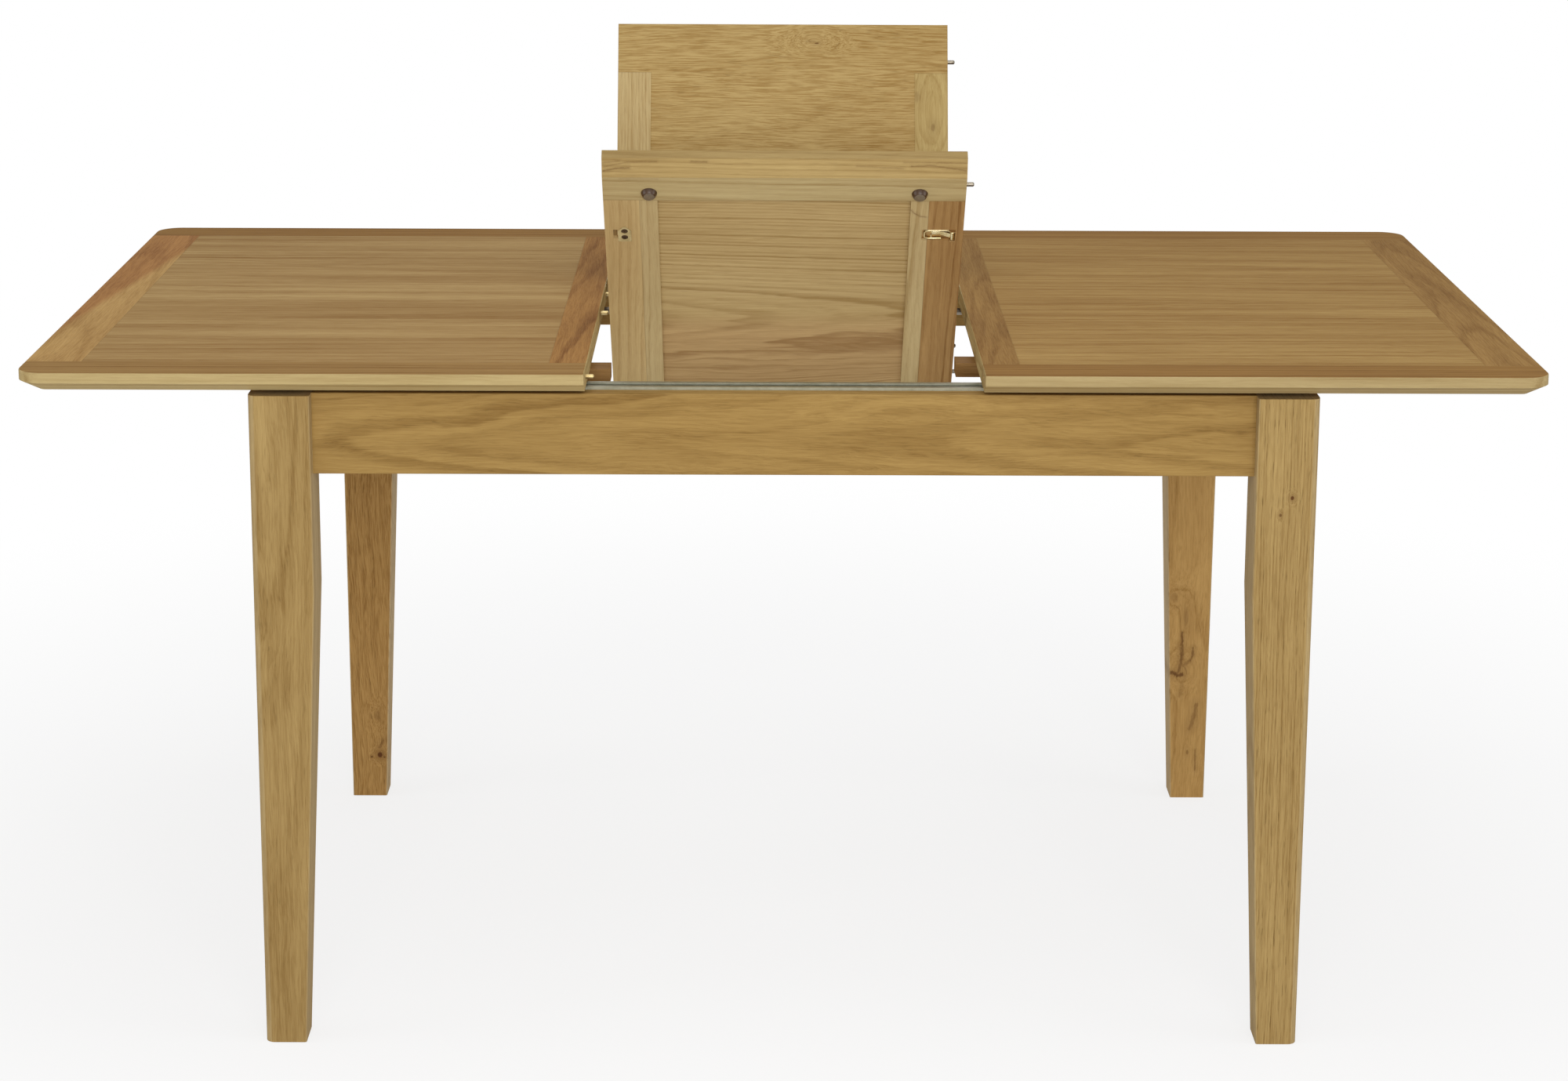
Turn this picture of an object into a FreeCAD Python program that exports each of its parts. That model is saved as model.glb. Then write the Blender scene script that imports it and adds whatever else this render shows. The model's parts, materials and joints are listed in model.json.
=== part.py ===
import FreeCAD, Part
import os
import re

# An extending table: two tops slide apart on a fixed frame, and a leaf in two halves, hinged
# together, turns up out of the well between them. The tops stand open and the leaf is half raised.
# +X runs along the table, +Y to the rear, +Z up. The origin is on the floor, under the middle.

doc = FreeCAD.newDocument("extending_table")
sheet = doc.addObject("Spreadsheet::Sheet", "sizes")

# Driving sizes in millimetres, angles in degrees
top_sizes = {
    "table_high": 760,
    "top_long": 600,
    "top_wide": 900,
    "top_thick": 22,
    "edge_face": 11,
    "bevel_in": 21,
    "border_wide": 60,
    "inner_wide": 40,
    "corner_round": 30,
    "top_ease": 1.2,
}
leaf_sizes = {
    "leaf_long": 400,
    "pull_gap": 12,
    "panel_thick": 16,
    "batten_wide": 20,
    "half_gap": 0.25,
    "pivot_back": 104,
    "pivot_drop": 40,
    "rear_angle": 70.7,
    "fold_angle": 60.8,
}
frame_sizes = {
    "end_in": 30,
    "side_in": 18,
    "glide_gap": 6,
    "leg_wide": 66,
    "leg_foot": 45,
    "leg_round": 10,
    "leg_ease": 2,
    "taper_drop": 130,
    "apron_tall": 89,
    "apron_thick": 20,
    "apron_in": 18,
    "apron_ease": 1.5,
    "block_out": 72,
    "block_high": 40,
    "block_drop": 12,
    "bolt_radius": 4,
    "bolt_in": 8,
    "bolt_head": 7.5,
    "bolt_head_high": 6,
    "rail_out": 48,
    "rail_thick": 22,
    "rail_high": 50,
    "rail_housing": 6,
    "pivot_radius": 4,
    "pivot_end": 1,
}
slide_sizes = {
    "channel_wide": 28,
    "channel_high": 12,
    "channel_wall": 2,
    "channel_lip": 5,
    "channel_drop": 3,
    "channel_end": 4,
    "bar_gap": 0.5,
    "bar_start": 2,
    "bar_end": 6,
}
fitting_sizes = {
    "run_gap": 0.08,
    "rest_gap": 0.3,
    "pin_radius": 2.5,
    "pin_tip": 1.8,
    "pin_out": 9,
    "pin_bite": 20,
    "pin_near": 58,
    "pin_edge": 44,
    "pin_gap": 0.3,
    "socket_radius": 4.5,
    "socket_long": 14,
    "bumper_base": 9,
    "bumper_tip": 6.5,
    "bumper_out": 149,
    "bumper_edge": 48,
    "screw_radius": 1.75,
    "screw_head": 3.5,
    "head_high": 1.5,
    "screw_bite": 10,
    "overrun": 5,
}
arm_sizes = {
    "arm_gap": 4,
    "arm_thick": 4,
    "arm_half": 12,
    "arm_relief": 1,
    "arm_end": 12,
    "flange_in": 35,
    "flange_half": 22,
    "flange_thick": 3,
    "flange_screw": 14,
}
rest_sizes = {
    "rest_reach": 22,
    "rest_seat": 20,
    "rest_wide": 36,
    "rest_thick": 16,
    "rest_in": 48,
    "rest_apart": 2,
}
clip_sizes = {
    "clip_row": 120,
    "clip_edge": 12,
    "clip_tab": 10,
    "clip_wide": 14,
    "clip_thick": 1.5,
    "clip_gap": 0.3,
    "clip_hook": 4,
    "clip_hub": 2.2,
    "clip_pin": 1,
    "ear_thick": 1.5,
    "ear_long": 6,
    "ear_out": 2.5,
    "clip_floor": 0.8,
    "recess_deep": 3.5,
    "recess_gap": 0.2,
    "keeper_wide": 15,
    "keeper_long": 19,
    "keeper_gable": 7,
    "keeper_tip": 2,
    "keeper_thick": 1.5,
    "slot_long": 5,
    "slot_wide": 15,
    "slot_deep": 5.5,
    "keeper_screw_out": 5.3,
}
hinge_sizes = {
    "hinge_out": 110,
    "hinge_long": 60,
    "hinge_wide": 28,
    "hinge_thick": 2,
    "knuckle_radius": 2.5,
    "knuckle_gap": 0.4,
    "hinge_pin": 1.25,
    "hinge_screw_out": 20,
    "hinge_screw_in": 18,
}
driving = {
    **top_sizes, **leaf_sizes, **frame_sizes, **slide_sizes, **fitting_sizes,
    **arm_sizes, **rest_sizes, **clip_sizes, **hinge_sizes,
}
for row, (name, value) in enumerate(driving.items(), start=1):
    sheet.set(f"A{row}", name)
    sheet.set(f"B{row}", str(value))
    sheet.setAlias(f"B{row}", name)
doc.recompute()

# Places and sizes that follow from the driving ones
under = "(table_high - top_thick)"
mid_edge = "(table_high - top_thick / 2)"
inner_edge = "(leaf_long / 2 + pull_gap)"
outer_end = f"({inner_edge} + top_long)"
half_wide = "(top_wide / 2)"
half_leaf = "(leaf_long / 2)"
frame_top = f"({under} - glide_gap)"
apron_low = f"({frame_top} - apron_tall)"
taper_top = f"({apron_low} - taper_drop)"
leg_x = "(top_long - end_in)"
leg_y = f"({half_wide} - side_in)"
apron_y = f"({leg_y} - apron_in)"
apron_x = f"({leg_x} - apron_in)"
apron_back = f"({apron_y} - apron_thick)"
channel_top = f"({under} - channel_drop)"
channel_low = f"({channel_top} - channel_high)"
channel_in = f"({apron_back} - channel_wide)"
channel_mid = f"({apron_back} - channel_wide / 2)"
channel_half = f"({leg_x} - leg_wide - channel_end)"
rail_in = f"({inner_edge} + rail_out)"
rail_end = f"({inner_edge} + rail_out + rail_thick)"
pin_rows = ["pin_near", "-pin_near", f"{half_wide} - pin_edge", f"pin_edge - {half_wide}"]
hinge_y = "(pivot_back * (1 - cos(rear_angle)) - pivot_drop * sin(rear_angle))"
hinge_z = "(table_high - pivot_drop * (1 - cos(rear_angle)) - pivot_back * sin(rear_angle))"
front_turn = "(rear_angle + fold_angle - 180)"
clip_reach = "(2 * clip_edge)"
clip_side = "(clip_wide / 2 + clip_gap + ear_thick)"
channel_screw_shares = [-0.8, -0.3, 0.3, 0.8]
bar_screw_shares = [0.15, 0.85]

pieces = {}


def bound(text):
    words = lambda found: "sizes." + found.group() if found.group() in driving else found.group()
    return re.sub(r"[a-z][a-z_]*", words, str(text))


def amount(text):
    return float(sheet.evalExpression(bound(text)))


def place(thing, x, y, z):
    for axis, text in zip("xyz", (x, y, z)):
        thing.setExpression(f"Placement.Base.{axis}", bound(text))
    return thing


def box(name, x, y, z):
    thing = doc.addObject("Part::Box", name)
    for side, (low, high) in zip(("Length", "Width", "Height"), (x, y, z)):
        thing.setExpression(side, bound(f"({high}) - ({low})"))
    return place(thing, x[0], y[0], z[0])


# A stretch along an axis, or its mirror image
def span(sign, near, far):
    return (near, far) if sign > 0 else (f"-({far})", f"-({near})")


turns = {
    "x": FreeCAD.Rotation(FreeCAD.Vector(0, 1, 0), 90),
    "y": FreeCAD.Rotation(FreeCAD.Vector(1, 0, 0), -90),
    "-y": FreeCAD.Rotation(FreeCAD.Vector(1, 0, 0), 90),
    "z": FreeCAD.Rotation(),
    "-z": FreeCAD.Rotation(FreeCAD.Vector(1, 0, 0), 180),
    "about": FreeCAD.Rotation(FreeCAD.Vector(0, 0, 1), 180),
    "corner": FreeCAD.Rotation(FreeCAD.Vector(-1, 1, 0), 90),
}


def rod(name, axis, radius, length, x, y, z):
    thing = doc.addObject("Part::Cylinder", name)
    thing.setExpression("Radius", bound(radius))
    thing.setExpression("Height", bound(length))
    thing.Placement = FreeCAD.Placement(FreeCAD.Vector(), turns[axis])
    return place(thing, x, y, z)


def cone(name, axis, low, high, length, x, y, z):
    thing = doc.addObject("Part::Cone", name)
    thing.setExpression("Radius1", bound(low))
    thing.setExpression("Radius2", bound(high))
    thing.setExpression("Height", bound(length))
    thing.Placement = FreeCAD.Placement(FreeCAD.Vector(), turns[axis])
    return place(thing, x, y, z)


# A flat piece that narrows from wide to tip towards -Y
def gable(name, wide, tip, long, thick, x, y, z):
    thing = doc.addObject("Part::Wedge", name)
    limits = {"Xmin": f"-{wide} / 2", "Xmax": f"{wide} / 2", "X2min": f"-{tip} / 2", "X2max": f"{tip} / 2",
              "Ymin": "0", "Ymax": long, "Zmin": "0", "Zmax": thick, "Z2min": "0", "Z2max": thick}
    for side, text in limits.items():
        thing.setExpression(side, bound(text))
    thing.Placement = FreeCAD.Placement(FreeCAD.Vector(), turns["about"])
    return place(thing, x, y, z)


def group(name, things):
    thing = doc.addObject("Part::Compound", name)
    thing.Links = things
    return thing


def fuse(name, things):
    thing = doc.addObject("Part::MultiFuse", name)
    thing.Shapes = things
    thing.Refine = True
    return thing


def cut(name, base, tools):
    thing = doc.addObject("Part::Cut", name)
    thing.Base = base
    thing.Tool = tools[0] if len(tools) == 1 else group(name + "_tools", tools)
    return thing


def common(name, base, tool):
    thing = doc.addObject("Part::Common", name)
    thing.Base = base
    thing.Tool = tool
    return thing


def edges(thing, chosen):
    doc.recompute()
    return [n for n, edge in enumerate(thing.Shape.Edges, start=1) if chosen(edge)]


def rounded(name, base, radius, chosen):
    thing = doc.addObject("Part::Fillet", name)
    thing.Base = base
    thing.Edges = [(n, amount(radius), amount(radius)) for n in edges(base, chosen)]
    return thing


# A bevel on one edge and what runs on from it, deep along the underside and high up the edge
def bevelled(name, base, deep, high, chosen):
    first = edges(base, chosen)[0]
    thing = doc.addObject("Part::Chamfer", name)
    thing.Base = base
    top = base.Shape.BoundBox.ZMax
    for sizes in ((deep, high), (high, deep)):
        thing.Edges = [(first, amount(sizes[0]), amount(sizes[1]))]
        doc.recompute()
        level = base.Shape.BoundBox.ZMin + amount(high)
        rims = [v for v in thing.Shape.Vertexes if abs(v.Z - level) < (top - level) / 100]
        if rims:
            return thing
    raise RuntimeError("no bevel on " + name)


def keep(node, thing):
    thing.Label = node
    pieces[node] = thing
    return thing


# A countersunk screw: its head starts at the place given and its shank runs on along the axis
def screw(name, axis, length, x, y, z):
    head = cone(name + "_head", "z", "screw_head", "screw_radius", "head_high", "0", "0", "0")
    shank = rod(name + "_shank", "z", "screw_radius", f"{length} - head_high", "0", "0", "head_high")
    both = fuse(name, [head, shank])
    both.Placement = FreeCAD.Placement(FreeCAD.Vector(), turns[axis])
    return place(both, x, y, z)


def near_z(edge, z):
    box_of = edge.BoundBox
    return box_of.ZLength < amount("run_gap") and abs(box_of.ZMin - z) < amount("run_gap")


# Legs, corner blocks and bolts are drawn once at a corner whose outer point is the origin and
# whose inside is +X +Y, and stand at the four corners by a quarter turn each
corners = {
    "front_left": (f"-{leg_x}", f"-{leg_y}"),
    "front_right": (leg_x, f"-{leg_y}"),
    "rear_right": (leg_x, leg_y),
    "rear_left": (f"-{leg_x}", leg_y),
}


def at_corner(node, thing, corner):
    x, y = corners[corner]
    turn = 360 * list(corners).index(corner) / len(corners)
    copy = group(node, [thing])
    copy.Placement.Rotation = FreeCAD.Rotation(FreeCAD.Vector(0, 0, 1), turn)
    return place(copy, x, y, "0")


bolt_level = f"({frame_top} - block_drop - block_high / 2)"
block_foot = f"({frame_top} - block_drop - block_high)"
apron_depth = "(apron_in + apron_thick)"
block_leg = f"(leg_wide - {apron_depth} + block_out)"


def make_bolt():
    start = f"({apron_depth} + bolt_in)"
    seat = f"({apron_depth} + {block_leg} / 2)"
    length = f"({seat} - {start}) * sqrt(2)"
    shank = rod("bolt_shank", "corner", "bolt_radius", length, start, start, bolt_level)
    head = doc.addObject("Part::Prism", "bolt_cap")
    head.Polygon = 6
    head.setExpression("Circumradius", bound("bolt_head"))
    head.setExpression("Height", bound("bolt_head_high"))
    head.Placement = FreeCAD.Placement(FreeCAD.Vector(), turns["corner"])
    place(head, seat, seat, bolt_level)
    return fuse("bolt", [shank, head])


# A leg is a straight post and a tapering one, both with rounded edges, in what they have in common
def eased_post(name, post):
    touch = amount("leg_ease")
    upright = lambda e: e.BoundBox.ZLength > amount("leg_wide")
    outside = lambda e: max(e.BoundBox.XMax, e.BoundBox.YMax) < amount("leg_round") + touch
    eased = rounded(name + "_eased", post, "leg_ease", lambda e: upright(e) and not outside(e))
    return rounded(name + "_turned", eased, "leg_round", lambda e: upright(e) and outside(e))


def make_leg(bolt):
    straight = box("post", ("0", "leg_wide"), ("0", "leg_wide"), ("0", frame_top))
    slope = f"((leg_wide - leg_foot) / {taper_top})"
    foot = f"(leg_foot - {slope} * overrun)"
    head = f"(leg_foot + {slope} * ({frame_top} + overrun))"
    taper = doc.addObject("Part::Wedge", "taper")
    for name, text in {
        "Xmin": "0", "Zmin": "0", "X2min": "0", "Z2min": "0", "Ymin": "-overrun",
        "Ymax": f"{frame_top} + overrun", "Xmax": foot, "Zmax": foot, "X2max": head, "Z2max": head,
    }.items():
        taper.setExpression(name, bound(text))
    taper.Placement.Rotation = FreeCAD.Rotation(FreeCAD.Vector(1, 1, 1), 120)
    leg = common("leg_whole", eased_post("post", straight), eased_post("taper", taper))
    return cut("leg_bored", leg, [bolt])


def make_block(bolt):
    near = apron_depth
    far = f"({apron_depth} + {block_leg})"
    high = (block_foot, f"{block_foot} + block_high")
    square = box("block_square", (near, far), (near, far), high)
    slant = doc.addObject("Part::Box", "block_slant")
    slant.setExpression("Length", bound(f"{block_leg} * sqrt(2)"))
    slant.setExpression("Width", bound(block_leg))
    slant.setExpression("Height", bound("block_high"))
    slant.Placement.Rotation = FreeCAD.Rotation(FreeCAD.Vector(0, 0, 1), 135)
    place(slant, far, near, block_foot)
    wedge = common("block_wedge", square, slant)
    notch = box("block_notch", ("0", "leg_wide"), ("0", "leg_wide"), high)
    return cut("block_bored", wedge, [notch, bolt])


def make_corners():
    bolt = make_bolt()
    leg = make_leg(bolt)
    block = make_block(bolt)
    for corner in corners:
        keep("leg_" + corner, at_corner("leg_" + corner, leg, corner))
    blocks = [at_corner("block_" + corner, block, corner) for corner in corners]
    keep("corner_blocks", group("corner_blocks", blocks))
    bolts = [at_corner("bolt_" + corner, bolt, corner) for corner in corners]
    keep("leg_bolts", group("leg_bolts", bolts))


# Front-to-back rails under the tops: the upper part stands between the channels, the lower part
# runs under them into housings in the aprons
def make_rail(side, sign):
    across = span(sign, rail_in, rail_end)
    tenon = f"({apron_back} + rail_housing)"
    low = box(f"rail_low_{side}", across, (f"-{tenon}", tenon),
              (f"{channel_low} - rail_high", channel_low))
    clear = f"({channel_in} - bar_gap)"
    high = box(f"rail_high_{side}", across, (f"-{clear}", clear), (channel_low, frame_top))
    return fuse(f"rail_{side}", [low, high])


def make_pivot_pin(side, sign):
    inner = f"({half_leaf} + arm_gap - pivot_end)"
    start = inner if sign > 0 else f"-{rail_end}"
    return rod(f"pivot_{side}", "x", "pivot_radius", f"{rail_end} - {inner}",
               start, "pivot_back", "table_high - pivot_drop")


def make_channel(side, sign):
    wide = span(sign, channel_in, apron_back)
    long = (f"-{channel_half}", channel_half)
    outside = box(f"channel_outside_{side}", long, wide, (channel_low, channel_top))
    over = (f"-{channel_half} - overrun", f"{channel_half} + overrun")
    hollow = box(f"channel_hollow_{side}", over, (f"{wide[0]} + channel_wall", f"{wide[1]} - channel_wall"),
                 (f"{channel_low} + channel_wall", f"{channel_top} - channel_wall"))
    edge = "channel_wall + channel_lip"
    mouth = box(f"channel_mouth_{side}", over, (f"{wide[0]} + {edge}", f"{wide[1]} - ({edge})"),
                (f"{channel_low} + channel_wall", f"{channel_top} + overrun"))
    return cut(f"channel_bent_{side}", outside, [fuse(f"channel_room_{side}", [hollow, mouth])])


def make_channel_screws(side, sign):
    axis = "y" if sign > 0 else "-y"
    start = f"({apron_back} - channel_wall)" if sign > 0 else f"-({apron_back} - channel_wall)"
    level = f"({channel_low} + channel_high / 2)"
    made = []
    for number, share in enumerate(channel_screw_shares):
        made.append(screw(f"channel_screw_{side}_{number}", axis, "(channel_wall + screw_bite)",
                          f"{share} * {channel_half}", start, level))
    return made


def make_frame():
    rails = {side: make_rail(side, sign) for side, sign in (("left", -1), ("right", 1))}
    pins = {side: make_pivot_pin(side, sign) for side, sign in (("left", -1), ("right", 1))}
    for side in rails:
        keep("cross_rail_" + side, cut("cross_rail_" + side, rails[side], [pins[side]]))
    keep("pivot_pins", group("pivot_pins", list(pins.values())))
    all_screws = []
    high = (apron_low, frame_top)
    long = f"({leg_x} - leg_wide)"
    for side, sign in (("front", -1), ("rear", 1)):
        screws = make_channel_screws(side, sign)
        all_screws += screws
        keep("slide_channel_" + side, cut("slide_channel_" + side, make_channel(side, sign), screws))
        board = box("board_" + side, (f"-{long}", long), span(sign, apron_back, apron_y), high)
        along = lambda e: e.BoundBox.XLength > amount("leg_wide")
        eased = rounded("eased_" + side, board, "apron_ease", along)
        keep("apron_" + side, cut("apron_" + side, eased, screws + list(rails.values())))
    keep("frame_screws", group("frame_screws", all_screws))
    wide = f"({leg_y} - leg_wide)"
    for side, sign in (("left", -1), ("right", 1)):
        deep = span(sign, f"{apron_x} - apron_thick", apron_x)
        board = box("board_" + side, deep, (f"-{wide}", wide), high)
        along = lambda e: e.BoundBox.YLength > amount("leg_wide")
        keep("apron_" + side, rounded("apron_" + side, board, "apron_ease", along))


# Alignment pins stand out of an edge that faces +X, and sockets lie in an edge that faces -X
def make_pins(name, x, rows, z):
    made = []
    for number, row in enumerate(rows):
        plain = rod(f"{name}_plain_{number}", "x", "pin_radius", "pin_bite + pin_out",
                    f"{x} - pin_bite", row, z)
        tip = amount(f"{x} + pin_out") - amount("run_gap")
        made.append(rounded(f"{name}_{number}", plain, "pin_tip", lambda e: e.BoundBox.XMin > tip))
    return made


def make_sockets(name, x, rows, z):
    plugs = []
    bushes = []
    for number, row in enumerate(rows):
        plug = rod(f"{name}_plug_{number}", "x", "socket_radius", "socket_long", x, row, z)
        bore = rod(f"{name}_bore_{number}", "x", "pin_radius + pin_gap", "socket_long", x, row, z)
        plugs.append(plug)
        bushes.append(cut(f"{name}_{number}", plug, [bore]))
    return plugs, bushes


# A flip-over clip lies along the underside, its hub near an edge that faces +X. It turns over about
# the hub until its hook drops into the keeper's slot across the joint
def make_clip(name, edge, row, level):
    hub = f"({edge} - clip_edge)"
    tail = f"({hub} - {clip_reach} - clip_tab)"
    side = (f"{row} - clip_wide / 2", f"{row} + clip_wide / 2")
    plate = box(name + "_plate", (tail, hub), side,
                (f"{level} + clip_gap", f"{level} + clip_gap + clip_thick"))
    hook_x = f"({hub} - {clip_reach})"
    hook = box(name + "_hook", (f"{hook_x} - clip_thick / 2", f"{hook_x} + clip_thick / 2"), side,
               (f"{level} - clip_hook", f"{level} + clip_gap + clip_thick"))
    barrel = rod(name + "_barrel", "y", "clip_hub", "clip_wide", hub, side[0], level)
    bore = rod(name + "_bore", "y", "clip_pin + run_gap", "clip_wide", hub, side[0], level)
    lever = cut(name + "_lever_bored", fuse(name + "_lever_whole", [plate, hook, barrel]), [bore])
    floor = f"({level} + recess_deep)"
    recess = box(name + "_recess", (f"{tail} - recess_gap", f"{hub} + ear_long / 2 + recess_gap"),
                 (f"{row} - {clip_side} - recess_gap", f"{row} + {clip_side} + recess_gap"),
                 (f"{level} - overrun", floor))
    parts = [box(name + "_floor", (tail, f"{hub} + ear_long / 2"),
                 (f"{row} - {clip_side}", f"{row} + {clip_side}"), (f"{floor} - clip_floor", floor))]
    for which, sign in (("low", "-"), ("high", "+")):
        ear = f"({row} {sign} ({clip_side} - ear_thick / 2))"
        parts.append(box(f"{name}_ear_{which}", (f"{hub} - ear_long / 2", f"{hub} + ear_long / 2"),
                         (f"{ear} - ear_thick / 2", f"{ear} + ear_thick / 2"),
                         (f"{level} - ear_out", floor)))
    parts.append(rod(name + "_pin", "y", "clip_pin", f"2 * {clip_side}", hub, f"{row} - {clip_side}", level))
    return fuse(name + "_base_whole", parts), lever, recess


# A keeper plate, a shield with its gable towards -Y, lies flush in the underside behind the slot for
# the clip's hook, near an edge that faces -X
def make_keeper(name, edge, row, level):
    slot_x = f"({edge} + clip_edge)"
    near = f"({slot_x} + slot_long / 2)"
    middle = f"({near} + keeper_wide / 2)"
    foot = f"({row} + (keeper_long + keeper_gable) / 2)"
    body = box(name + "_body", (near, f"{near} + keeper_wide"), (f"{foot} - keeper_long", foot),
               (level, f"{level} + keeper_thick"))
    point = gable(name + "_gable", "keeper_wide", "keeper_tip", "keeper_gable", "keeper_thick",
                  middle, f"{foot} - keeper_long", level)
    plate = fuse(name + "_plate", [body, point])
    slot = box(name + "_slot", (f"{slot_x} - slot_long / 2", f"{slot_x} + slot_long / 2"),
               (f"{row} - slot_wide / 2", f"{row} + slot_wide / 2"),
               (f"{level} - overrun", f"{level} + slot_deep"))
    screws = [screw(f"{name}_screw_{which}", "z", "(keeper_thick + screw_bite)", middle,
                    f"{row} {sign} keeper_screw_out", level) for which, sign in (("low", "-"), ("high", "+"))]
    return plate, slot, screws


# One top, cut out of a slab with a bevel under its three outer edges
def make_top(side, sign):
    near = inner_edge if sign > 0 else f"-{outer_end}"
    far = outer_end if sign > 0 else f"-{inner_edge}"
    name = side + "_top"
    block = box(name + "_block", (near, far), (f"-{half_wide}", half_wide), (under, "table_high"))
    end = amount(far if sign > 0 else near)
    touch = amount("run_gap")
    upright = lambda e: e.BoundBox.ZLength > touch and abs(e.BoundBox.XMin - end) < touch
    turned = rounded(name + "_turned", block, "corner_round", upright)
    low = amount(under)
    level = amount("table_high")
    run = lambda e: near_z(e, low) and e.BoundBox.YMax < touch - amount(half_wide)
    slab = bevelled(name + "_slab", turned, "bevel_in", "top_thick - edge_face", run)
    eased = rounded(name + "_eased", slab, "top_ease", lambda e: near_z(e, level))
    inside = f"({half_wide} - border_wide)"
    all_high = (f"{under} - overrun", "table_high + overrun")
    over_x = (f"{near} - overrun", f"{far} + overrun")
    if sign > 0:
        spans = {"inner": (f"{near} - overrun", f"{near} + inner_wide"),
                 "panel": (f"{near} + inner_wide", f"{far} - border_wide"),
                 "end": (f"{far} - border_wide", f"{far} + overrun")}
    else:
        spans = {"inner": (f"{far} - inner_wide", f"{far} + overrun"),
                 "panel": (f"{near} + border_wide", f"{far} - inner_wide"),
                 "end": (f"{near} - overrun", f"{near} + border_wide")}
    regions = {part: box(f"{name}_{part}_region", span, (f"-{inside}", inside), all_high)
               for part, span in spans.items()}
    for part, turn in (("front", -1), ("rear", 1)):
        regions[part] = box(f"{name}_{part}_region", over_x,
                            span(turn, inside, f"{half_wide} + overrun"), all_high)
    boards = {part: common(f"{name}_{part}_board", eased, region) for part, region in regions.items()}
    tools = []

    # slide bars: a flange inside the channel and a neck up to the underside of the top
    screws = []
    bars = []
    bar_near = f"({inner_edge} + bar_start)"
    bar_x = span(sign, bar_near, f"{channel_half} - bar_end")
    foot = f"({channel_low} + channel_wall + bar_gap)"
    for row, turn in (("front", "-"), ("rear", "")):
        line = f"{turn}{channel_mid}"
        flange_half = "(channel_wide / 2 - channel_wall - bar_gap)"
        neck_half = f"({flange_half} - channel_lip)"
        flange = box(f"{name}_flange_{row}", bar_x, (f"{line} - {flange_half}", f"{line} + {flange_half}"),
                     (foot, f"{channel_top} - channel_wall - bar_gap"))
        neck = box(f"{name}_neck_{row}", bar_x, (f"{line} - {neck_half}", f"{line} + {neck_half}"),
                   (foot, under))
        fixing = [screw(f"{name}_bar_screw_{row}_{n}", "z", f"({under} - {foot} + screw_bite)",
                        f"{bar_x[0]} + {share} * ({bar_x[1]} - ({bar_x[0]}))", line, foot)
                  for n, share in enumerate(bar_screw_shares)]
        bars.append(cut(f"{name}_bar_{row}", fuse(f"{name}_bar_plain_{row}", [flange, neck]), fixing))
        screws += fixing
    keep(f"{side}_top_slide_bars", group(f"{side}_top_slide_bars", bars))

    # leaf rests: a seat under the top's inner edge and a tongue that reaches under the leaf
    rests = []
    seat_far = f"({inner_edge} + rest_seat)"
    tongue = f"({inner_edge} - rest_reach)"
    line = f"({channel_in} - rest_in - rest_wide)"
    if sign > 0:
        line = f"({channel_in} - rest_in - rest_apart - 2 * rest_wide)"
    low_rest = f"({under} - rest_thick)"
    for row, turn in (("front", "-"), ("rear", "")):
        wide = (line, f"{line} + rest_wide") if not turn else (f"-({line} + rest_wide)", f"-{line}")
        seat_x = (inner_edge, seat_far) if sign > 0 else (f"-{seat_far}", f"-{inner_edge}")
        tongue_x = (tongue, inner_edge) if sign > 0 else (f"-{inner_edge}", f"-{tongue}")
        seat = box(f"{name}_seat_{row}", seat_x, wide, (low_rest, under))
        reach = box(f"{name}_tongue_{row}", tongue_x, wide, (low_rest, f"{under} - rest_gap"))
        fixing = screw(f"{name}_rest_screw_{row}", "z", "(rest_thick + screw_bite)",
                       f"({seat_x[0]} + {seat_x[1]}) / 2", f"({wide[0]} + {wide[1]}) / 2", low_rest)
        rests.append(cut(f"{name}_rest_{row}", fuse(f"{name}_rest_plain_{row}", [seat, reach]), [fixing]))
        screws.append(fixing)
    keep(f"{side}_top_leaf_rests", group(f"{side}_top_leaf_rests", rests))

    clip_line = f"(clip_row - {half_wide})"
    if sign < 0:
        pins = make_pins(name + "_pin", f"-{inner_edge}", pin_rows, mid_edge)
        keep("left_top_pins", group("left_top_pins", pins))
        base, lever, recess = make_clip(name + "_clip", f"-{inner_edge}", clip_line, under)
        keep("left_top_clip_base", group("left_top_clip_base", [base]))
        keep("left_top_clip_lever", group("left_top_clip_lever", [lever]))
        tools = pins + [recess]
    else:
        plugs, bushes = make_sockets(name + "_socket", inner_edge, pin_rows, mid_edge)
        keep("right_top_sockets", group("right_top_sockets", bushes))
        plate, slot, fixing = make_keeper(name + "_keeper", inner_edge, clip_line, under)
        keep("right_top_keeper", cut("right_top_keeper", plate, [slot] + fixing))
        screws += fixing
        tools = plugs + [plate, slot]
    keep(f"{side}_top_screws", group(f"{side}_top_screws", screws))
    labels = {"panel": "panel", "end": "end_strip", "front": "front_strip", "rear": "rear_strip",
              "inner": "inner_strip"}
    for part, board in boards.items():
        keep(f"{side}_top_{labels[part]}", cut(f"{side}_top_{labels[part]}", board, tools + screws))


# The leaf's halves are drawn lying flat, with the hinge line along X through the origin and the top
# face at z = 0, then turned to where they stand
def stand(node, things, sign):
    thing = group(node, things)
    thing.Placement.Rotation = FreeCAD.Rotation(FreeCAD.Vector(1, 0, 0), 1)
    thing.setExpression("Placement.Rotation.Angle", bound("rear_angle" if sign > 0 else front_turn))
    return keep(node, place(thing, "0", hinge_y, hinge_z))


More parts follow.
